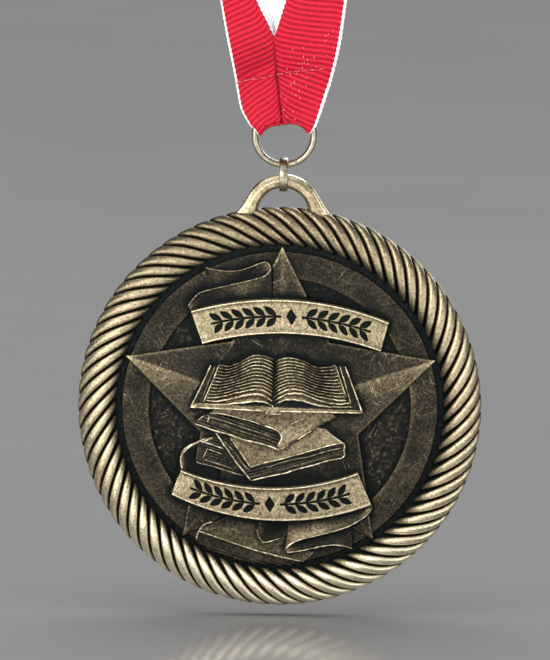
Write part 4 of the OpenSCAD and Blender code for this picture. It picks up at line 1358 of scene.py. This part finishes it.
def makeCloth():
    n = Material("ribbonCloth")
    place = n.node("ShaderNodeUVMap", {"uv_map": "weave"}).outputs[0]
    u, v = n.node("ShaderNodeSeparateXYZ", None, Vector=place).outputs[:2]
    side, low = n.math("ABSOLUTE", u), n.math("PINGPONG", v, float(loopLength) / 2)
    wave = n.math("COSINE", n.times(v, 2 * pi / ribbon["pitch"]))
    yarn = n.math("COSINE", n.times(u, 2 * pi / ribbon["yarn"]))
    fuzz, patch = n.noise(2.2, 3.0, 0.6), n.noise(0.25, 2.0, 0.5)
    shade = n.remap(n.add(n.times(wave, 0.5), n.times(fuzz, 0.9), n.times(patch, 0.5)), -0.2, 1.3)
    # painted shade: the cloth is painted darker just above the stitched crease, where it hollows
    above = n.math("SUBTRACT", low, ribbon["creaseShadeFrom"])
    creaseShade = n.times(n.remap(above, 0.0, 1.2), n.remap(above, 1.4, 6.0, 1.0, 0.0))
    creaseShade = n.times(creaseShade, n.remap(u, -9.5, 2.5, 1.0, 0.35))
    shade = n.math("SUBTRACT", shade, n.times(creaseShade, n.remap(patch, 0.25, 0.65, 0.15, 0.55)), clamp=True)
    red, white = n.ramp(shade, ribbonTones["red"]), n.ramp(shade, ribbonTones["white"])
    # painted shade: a dark line is painted where the stripe's edges roll in, deepest where they meet
    seamShade = n.math("SUBTRACT", side, n.remap(low, 8.0, 10.5, 1.60, 0.50))
    seamShade = n.remap(seamShade, ribbon["whiteHalf"], ribbon["whiteHalf"] - 0.70)
    seamShade = n.times(seamShade, n.times(n.remap(low, 8.5, 13.0, 0.66, 0.55), n.remap(low, 18.0, 30.0, 1.0, 0.0)))
    red = n.mix(seamShade, red, (0.05, 0.0, 0.003))
    half, soft = ribbon["whiteHalf"], 0.06
    inStripe = n.remap(n.add(side, n.times(wave, 0.10)), half + soft, half - soft)
    # the right edge's selvage turns outwards near the fold
    wider = n.times(n.remap(u, 9.0, 10.0), n.remap(low, 3.0, 10.0, 0.16, 0.0))
    selvage = halfWidth - ribbon["selvage"]
    onEdge = n.remap(n.add(side, n.times(wave, 0.03), wider), selvage - 0.05, selvage + 0.05)
    cloth = n.add(n.times(wave, 0.6), n.times(n.times(yarn, wave), 0.25), n.times(fuzz, 0.5))
    return n.shade(
        Base_Color=n.mix(n.math("MAXIMUM", inStripe, onEdge), red, white), Normal=n.bump(cloth, 0.55, 0.10),
        Roughness=n.remap(fuzz, 0.2, 0.9, 0.52, 0.72), Sheen_Weight=0.03, Sheen_Roughness=0.4,
        Specular_IOR_Level=0.14,
    )


def makeWeaveTree():
    # presses the ribs of the weave into the cloth
    t = GeometryTree("ribbonWeave", pitch=float, depth=float, paint="material")
    wave = t.math("COSINE", t.times(t.math("DIVIDE", t.attribute("along"), t.get("pitch")), 2 * pi))
    height = t.times(t.times(wave, t.get("depth")), t.attribute("ribs"))
    outward = t.node("ShaderNodeVectorMath", {"operation": "SCALE"}, Scale=height)
    t.put(outward.inputs[0], t.node("GeometryNodeInputNormal").outputs[0])
    t.finish(t.node("GeometryNodeSetPosition", None, Geometry=t.get("Geometry"), Offset=outward.outputs[0]))
    return t


def rowPlaces():
    # rows lie close where the weave is shaped, wider further up
    r = ribbon
    near = np.arange(0, r["shapedTo"], r["fineRows"])
    front = near.tolist()
    while front[-1] < loopLength / 2 - 1.0:
        front.append(front[-1] + min(r["coarseRows"], r["fineRows"] + 0.10 * (front[-1] - near[-1])))
    return np.concatenate([front, [loopLength / 2], loopLength - np.array(front[:0:-1])])


def weaveLines(at, u, grid):
    # how far along the weave each point lies: true lengths near the crease, the ribs slanted by the gathering
    r, back = ribbon, at >= loopLength / 2
    run = np.zeros(grid.shape[:2])
    run[1:] = np.cumsum(np.linalg.norm(np.diff(grid, axis=0), axis=2), axis=0)
    lined = np.empty_like(run)
    for part, anchor in ((~back, creaseAt), (back, loopLength - creaseAt)):
        row = int(np.argmin(np.abs(at - anchor)))
        lined[part] = at[row] + run[part] - run[row]
    low = fromFold(at)
    lined += (at[:, None] - lined) * smoothStep(low, 20.0, 60.0)[:, None]
    onTab = 1 - smoothStep(pastCrease(at, grid[:, :, 0]), -0.25, 0.15)
    left = u < r["ribMiddle"]
    slant = np.where(left, *r["chevron"]) * (1 - onTab) + np.where(left, *r["tabChevron"]) * onTab
    slant *= ((1 - smoothStep(low, 13.0, 60.0)) * smoothStep(low, 0.0, 2.2))[:, None]
    slant *= 1 - np.abs(u - r["ribMiddle"]) / halfWidth
    return lined + np.where(back, 1, -1)[:, None] * slant


def drawWeave(obj, across, along, closing=0):
    # one weave coordinate per face corner, in mm; the last closing faces run on past the loop's end
    corners = np.empty(len(obj.data.loops), np.int32)
    obj.data.loops.foreach_get("vertex_index", corners)
    uv = np.column_stack([across, along])[corners]
    runsOn = (np.arange(len(corners)) >= len(corners) - 4 * closing) & (corners <= closing)
    uv[runsOn, 1] += loopLength
    obj.data.uv_layers.new(name="weave").data.foreach_set("uv", uv.astype(np.float32).ravel())


def buildRibbon():
    r, at = ribbon, rowPlaces()
    inside = np.linspace(0.8 - halfWidth, halfWidth - 0.8, r["columns"])
    edge = halfWidth - np.array([0, 0.16, 0.40])
    u = np.concatenate([-edge, inside, edge[::-1]])
    grid = ribbonSurface(at, u)[0]
    lined, low, side = weaveLines(at, u, grid), fromFold(at), np.abs(u)
    shaped = smoothStep(low, 0.4, 1.4) * (1 - smoothStep(low, r["shapedTo"] - 10.0, r["shapedTo"] - 1.0))
    flatEdge = 0.12 + 0.88 * (1 - smoothStep(side, halfWidth - 0.75, halfWidth - 0.25))
    ribs = shaped[:, None] * flatEdge * (0.55 + 0.45 * smoothStep(side, 3.2, 3.9))
    for column, way in ((0, -1), (-1, 1)):
        grid[:, column, 0] += way * 0.012 * np.cos(2 * pi * lined[:, column] / r["pitch"]) * shaped
    n, m = grid.shape[:2]
    faces, layers = gridFaces(n, m, closedRows=True), {"along": (lined * mm).ravel(), "ribs": ribs.ravel()}
    sheet = meshObject("ribbonSheet", placed(grid.reshape(-1, 3)), faces, **layers)
    drawWeave(sheet, np.tile(u, n), lined.ravel(), closing=m - 1)
    sizes = {"pitch": r["pitch"] * mm, "depth": r["ribDepth"] * mm}
    cloth = makeWeaveTree().apply("neckRibbon", sheet, paint=ribbonCloth, **sizes)
    body = cloth.modifiers.new("body", "SOLIDIFY")
    body.thickness = r["thickness"] * mm
    body.offset = -1
    return cloth


def buildFoldedTab():
    # the turned-in ply that lies between the ring's wire and the outer cloth
    r, reach = ribbon, creaseAt * 0.8
    way, u = np.arange(-reach, reach, 0.13), np.linspace(-halfWidth, halfWidth, 45)
    grid, out = ribbonSurface(np.where(way < 0, way + loopLength, way), u, r["tabInset"])
    grid[:, :, 0] = r["tabMiddle"] + (grid[:, :, 0] - r["tabMiddle"]) * r["tabShare"]
    grid[:, :, 0] += 0.08 * np.sin(1.3 * way + 2.0 * (grid[:, :, 0] > 0).mean(axis=1))[:, None]
    inner = grid.copy()
    inner[:, :, 1:] -= out[:, None, :] * r["tabThickness"]
    n, m = grid.shape[:2]
    front, last = gridFaces(n, m), n * m - 1
    rim = [*range(m - 1), *range(m - 1, last, m), *range(last, last - m + 1, -1), *range(last - m + 1, 0, -m)]
    faces = front + [[v + n * m for v in face[::-1]] for face in front]
    faces += [[b, a, a + n * m, b + n * m] for a, b in sides(rim)]
    points = placed(np.concatenate([grid, inner]).reshape(-1, 3))
    obj = meshObject("foldedTab", points, faces, material=ribbonCloth)
    faceOutward(obj)
    drawWeave(obj, np.tile(u, 2 * n), np.tile(np.repeat(way, m), 2))
    return obj


ribbonCloth = makeCloth()
neckRibbon = buildRibbon()
foldedTab = buildFoldedTab()
print("ribbon loop", round(loopLength, 1), "mm")


# Stitches of the crease and small pulled threads

stitches = {
    "length": 0.84, "step": 1.04, "lift": 0.24, "sink": 0.05, "thread": 0.07, "rings": 13, "sides": 8,
    "fromX": -5.9, "toX": 5.1, "snags": 46, "snagSeed": 17, "snagRise": (2.4, 15.0), "snagSize": (0.16, 0.36),
}


def makeStitchTree():
    # lays one stitch at each point of a seam
    t = GeometryTree("seamStitches", stitch="object", paint="material")
    one = t.node("GeometryNodeObjectInfo", {"transform_space": "ORIGINAL"}, Object=t.get("stitch"))
    t.finish(t.node(
        "GeometryNodeInstanceOnPoints", None, Points=t.get("Geometry"), Instance=one.outputs["Geometry"],
        Rotation=t.attribute("turned", "FLOAT_VECTOR"), Scale=t.attribute("size"),
    ))
    return t


def makeThread():
    n = Material("seamThread")
    ply = n.noise(3.0, 2.0, 0.5, stretch=(1, 1, 2))
    color = n.ramp(ply, [(0.25, (0.34, 0.02, 0.04)), (0.5, (0.50, 0.07, 0.10)), (0.8, (0.68, 0.24, 0.27))])
    # the small pulled threads are paler than the seam
    color = n.mix(n.remap(n.attribute("size"), 0.9, 0.65), color, (0.86, 0.46, 0.49))
    roughness = n.remap(ply, 0.2, 0.8, 0.45, 0.65)
    return n.shade(Base_Color=color, Roughness=roughness, Normal=n.bump(ply, 0.4, 0.03))


def stitchShape(thread):
    # a stitch is a short thread that rises out of the cloth and goes back in
    s, rows = stitches, []
    for a in np.linspace(0, pi, s["rings"]):
        x, lift = -s["length"] / 2 * cos(a), s["lift"] * sin(a) - s["sink"]
        radius = s["thread"] * (0.55 + 0.45 * sin(a))
        for b in (2 * pi * i / s["sides"] for i in range(s["sides"])):
            rows.append((x, radius * cos(b) - lift, radius * sin(b)))
    ends = [list(range(s["sides"]))[::-1], list(range(len(rows) - s["sides"], len(rows)))]
    faces = gridFaces(s["rings"], s["sides"], closedColumns=True) + ends
    return meshObject("stitchShape", placed(rows), faces, material=thread)


def buildStitches():
    s, slant = stitches, ribbon["creaseSlant"]
    u = np.linspace(-10.4, 10.4, 160)
    points, turns, sizes = [], [], []

    def addThread(reach, across, x, sink, turn, size):
        grid, out = ribbonSurface(np.array([reach]), across)
        k = int(np.argmin(np.abs(grid[0, :, 0] - x)))
        points.append(grid[0, k] + np.append(0, out[0]) * sink)
        turns.append(turn)
        sizes.append(size)

    for side in (1, -1):
        for x in np.arange(s["fromX"], s["toX"], s["step"]):
            reach = creaseAt + slant * (x - ribbon["creaseMiddle"]) + 0.06 * sin(5 * x)
            turn = (0.0, -side * (np.arctan(slant) + 0.10 * sin(7 * x)), 0.0 if side > 0 else pi)
            addThread(reach if side > 0 else loopLength - reach, u, x, s["sink"], turn, 1.0)
    # small threads pulled up out of the weave on the right half
    draw = np.random.default_rng(s["snagSeed"])
    for stray, reach in zip(draw.normal(0.0, 0.9, s["snags"]), draw.uniform(*s["snagRise"], s["snags"])):
        across = min(max(5.1 + 0.33 * reach + stray, 4.4), 10.3)
        turn = (0.0, draw.uniform(0.9, 2.2), 0.0)
        addThread(reach, np.array([across]), 0.0, 0.06, turn, draw.uniform(*s["snagSize"]))
    seam = meshObject("seamPoints", placed(points), [], size=sizes)
    layer = seam.data.attributes.new("turned", "FLOAT_VECTOR", "POINT")
    layer.data.foreach_set("vector", np.array(turns, np.float32).ravel())
    thread = makeThread()
    stitch = stitchShape(thread)
    obj = makeStitchTree().apply("creaseStitches", seam, stitch=stitch, paint=thread)
    bpy.data.objects.remove(stitch)
    return obj


creaseStitches = buildStitches()
print("stitches laid")


# Studio

studio = {
    "distance": 0.62, "elevation": 8.5, "roll": 0.92, "aim": (-0.00076, 0.0, -0.394), "frameHeight": 0.08296,
    "floorDrop": 0.0013, "floorReach": 7.0, "floorTone": (0.80, 0.80, 0.81), "floorRough": 0.12,
    "mottle": 0.03, "worldTone": (0.63, 0.63, 0.63), "worldStrength": 0.26,
}
warmLight = (1.0, 0.98, 0.94)
medalAim = (0, 0, -0.395)
# name: place, size, watts, colour, aim, what it lights
lamps = {
    "key": ((-0.28, -0.56, -0.26), (0.60, 0.45), 5.3, warmLight, medalAim, "objectOnly"),
    "low": ((0.0, -0.22, -0.424), (0.8, 0.36), 1.6, warmLight, (0, -0.22, 0), "objectOnly"),
    "fill": ((0.46, -0.50, -0.38), (0.36, 0.50), 2.65, warmLight, medalAim, "objectOnly"),
    "top": ((-0.06, -0.20, -0.06), (0.5, 0.18), 0.4, (1, 1, 1), medalAim, "objectOnly"),
    "back": ((0.30, 0.75, -0.02), (0.6, 0.5), 7.0, (1, 1, 1), (0, 0, -0.30), "objectOnly"),
    "floorLight": ((0.0, 0.6, 2.2), (4.0, 4.0), 95.0, (1, 1, 1), (0, 0.6, -0.43), "floorOnly"),
}


def buildCamera():
    data = bpy.data.cameras.new("camera")
    camera = sceneObject("camera", data)
    data.lens = data.sensor_width * studio["distance"] / studio["frameHeight"]
    data.clip_start = 0.01
    up, aim = radians(studio["elevation"]), Vector(studio["aim"])
    camera.location = aim + Vector((0, -cos(up), sin(up))) * studio["distance"]
    look = (aim - camera.location).to_track_quat("-Z", "Y").to_matrix().to_4x4()
    roll = Matrix.Rotation(radians(studio["roll"]), 4, "Z")
    camera.matrix_world = Matrix.Translation(camera.location) @ look @ roll
    bpy.context.scene.camera = camera


def makeFloorPaint():
    n, rough, mottle = Material("paleFloor"), studio["floorRough"], studio["mottle"]
    cloud = n.noise(0.01, 3.0, 0.5)
    shade = n.times(n.remap(cloud, 0.3, 0.7, 1 - mottle, 1 + mottle), 0.5)
    color = n.ramp(shade, [(0.0, (0, 0, 0)), (1.0, studio["floorTone"])])
    roughness = n.remap(cloud, 0.2, 0.8, rough * 0.9, rough * 1.1)
    return n.shade(Base_Color=color, Roughness=roughness, Specular_IOR_Level=0.4)


def buildFloor():
    low = cadBounds[0][2] - studio["floorDrop"]
    ticks = np.linspace(-studio["floorReach"], studio["floorReach"], 17)
    points = [(x, y, low) for y in ticks for x in ticks]
    return meshObject("studioFloor", points, gridFaces(len(ticks), len(ticks)), material=makeFloorPaint())


def lightGroup(name, floor, state):
    # which objects a lamp reaches: the floor alone, or everything but the floor
    group = bpy.data.collections.new(name)
    group.objects.link(floor)
    group.collection_objects[0].light_linking.link_state = state
    return group


def addLamp(name, at, size, power, color, aim, group):
    data = bpy.data.lights.new(name, "AREA")
    data.shape = "RECTANGLE"
    data.size, data.size_y = size
    data.energy, data.color = power, color
    lamp = sceneObject(name, data)
    lamp.location = at
    lamp.visible_camera = False  # no camera sees the lamps, also one behind the medal
    lamp.rotation_euler = (Vector(aim) - Vector(at)).to_track_quat("-Z", "Y").to_euler()
    lamp.light_linking.receiver_collection = group


buildCamera()
studioFloor = buildFloor()
groups = {
    "objectOnly": lightGroup("objectOnly", studioFloor, "EXCLUDE"),
    "floorOnly": lightGroup("floorOnly", studioFloor, "INCLUDE"),
}
for name, (*settings, lit) in lamps.items():
    addLamp(name, *settings, groups[lit])
world = bpy.data.worlds.new("studio")
bpy.context.scene.world = world
world.use_nodes = True
background = world.node_tree.nodes["Background"]
background.inputs[0].default_value = (*studio["worldTone"], 1)
background.inputs[1].default_value = studio["worldStrength"]
bpy.context.scene.view_settings.view_transform = "Standard"
print("studio ready")


# How the pieces ride and what they stand for

for piece in medalPieces:
    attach(piece, "pendant")
    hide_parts("medal")
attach(connectingLink, "link")
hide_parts("connecting_link")
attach(ribbonRing, "ribbon")
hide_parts("ribbon_ring")
for piece in (neckRibbon, foldedTab, creaseStitches):
    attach(piece, "ribbon")
    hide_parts("neck_ribbon")
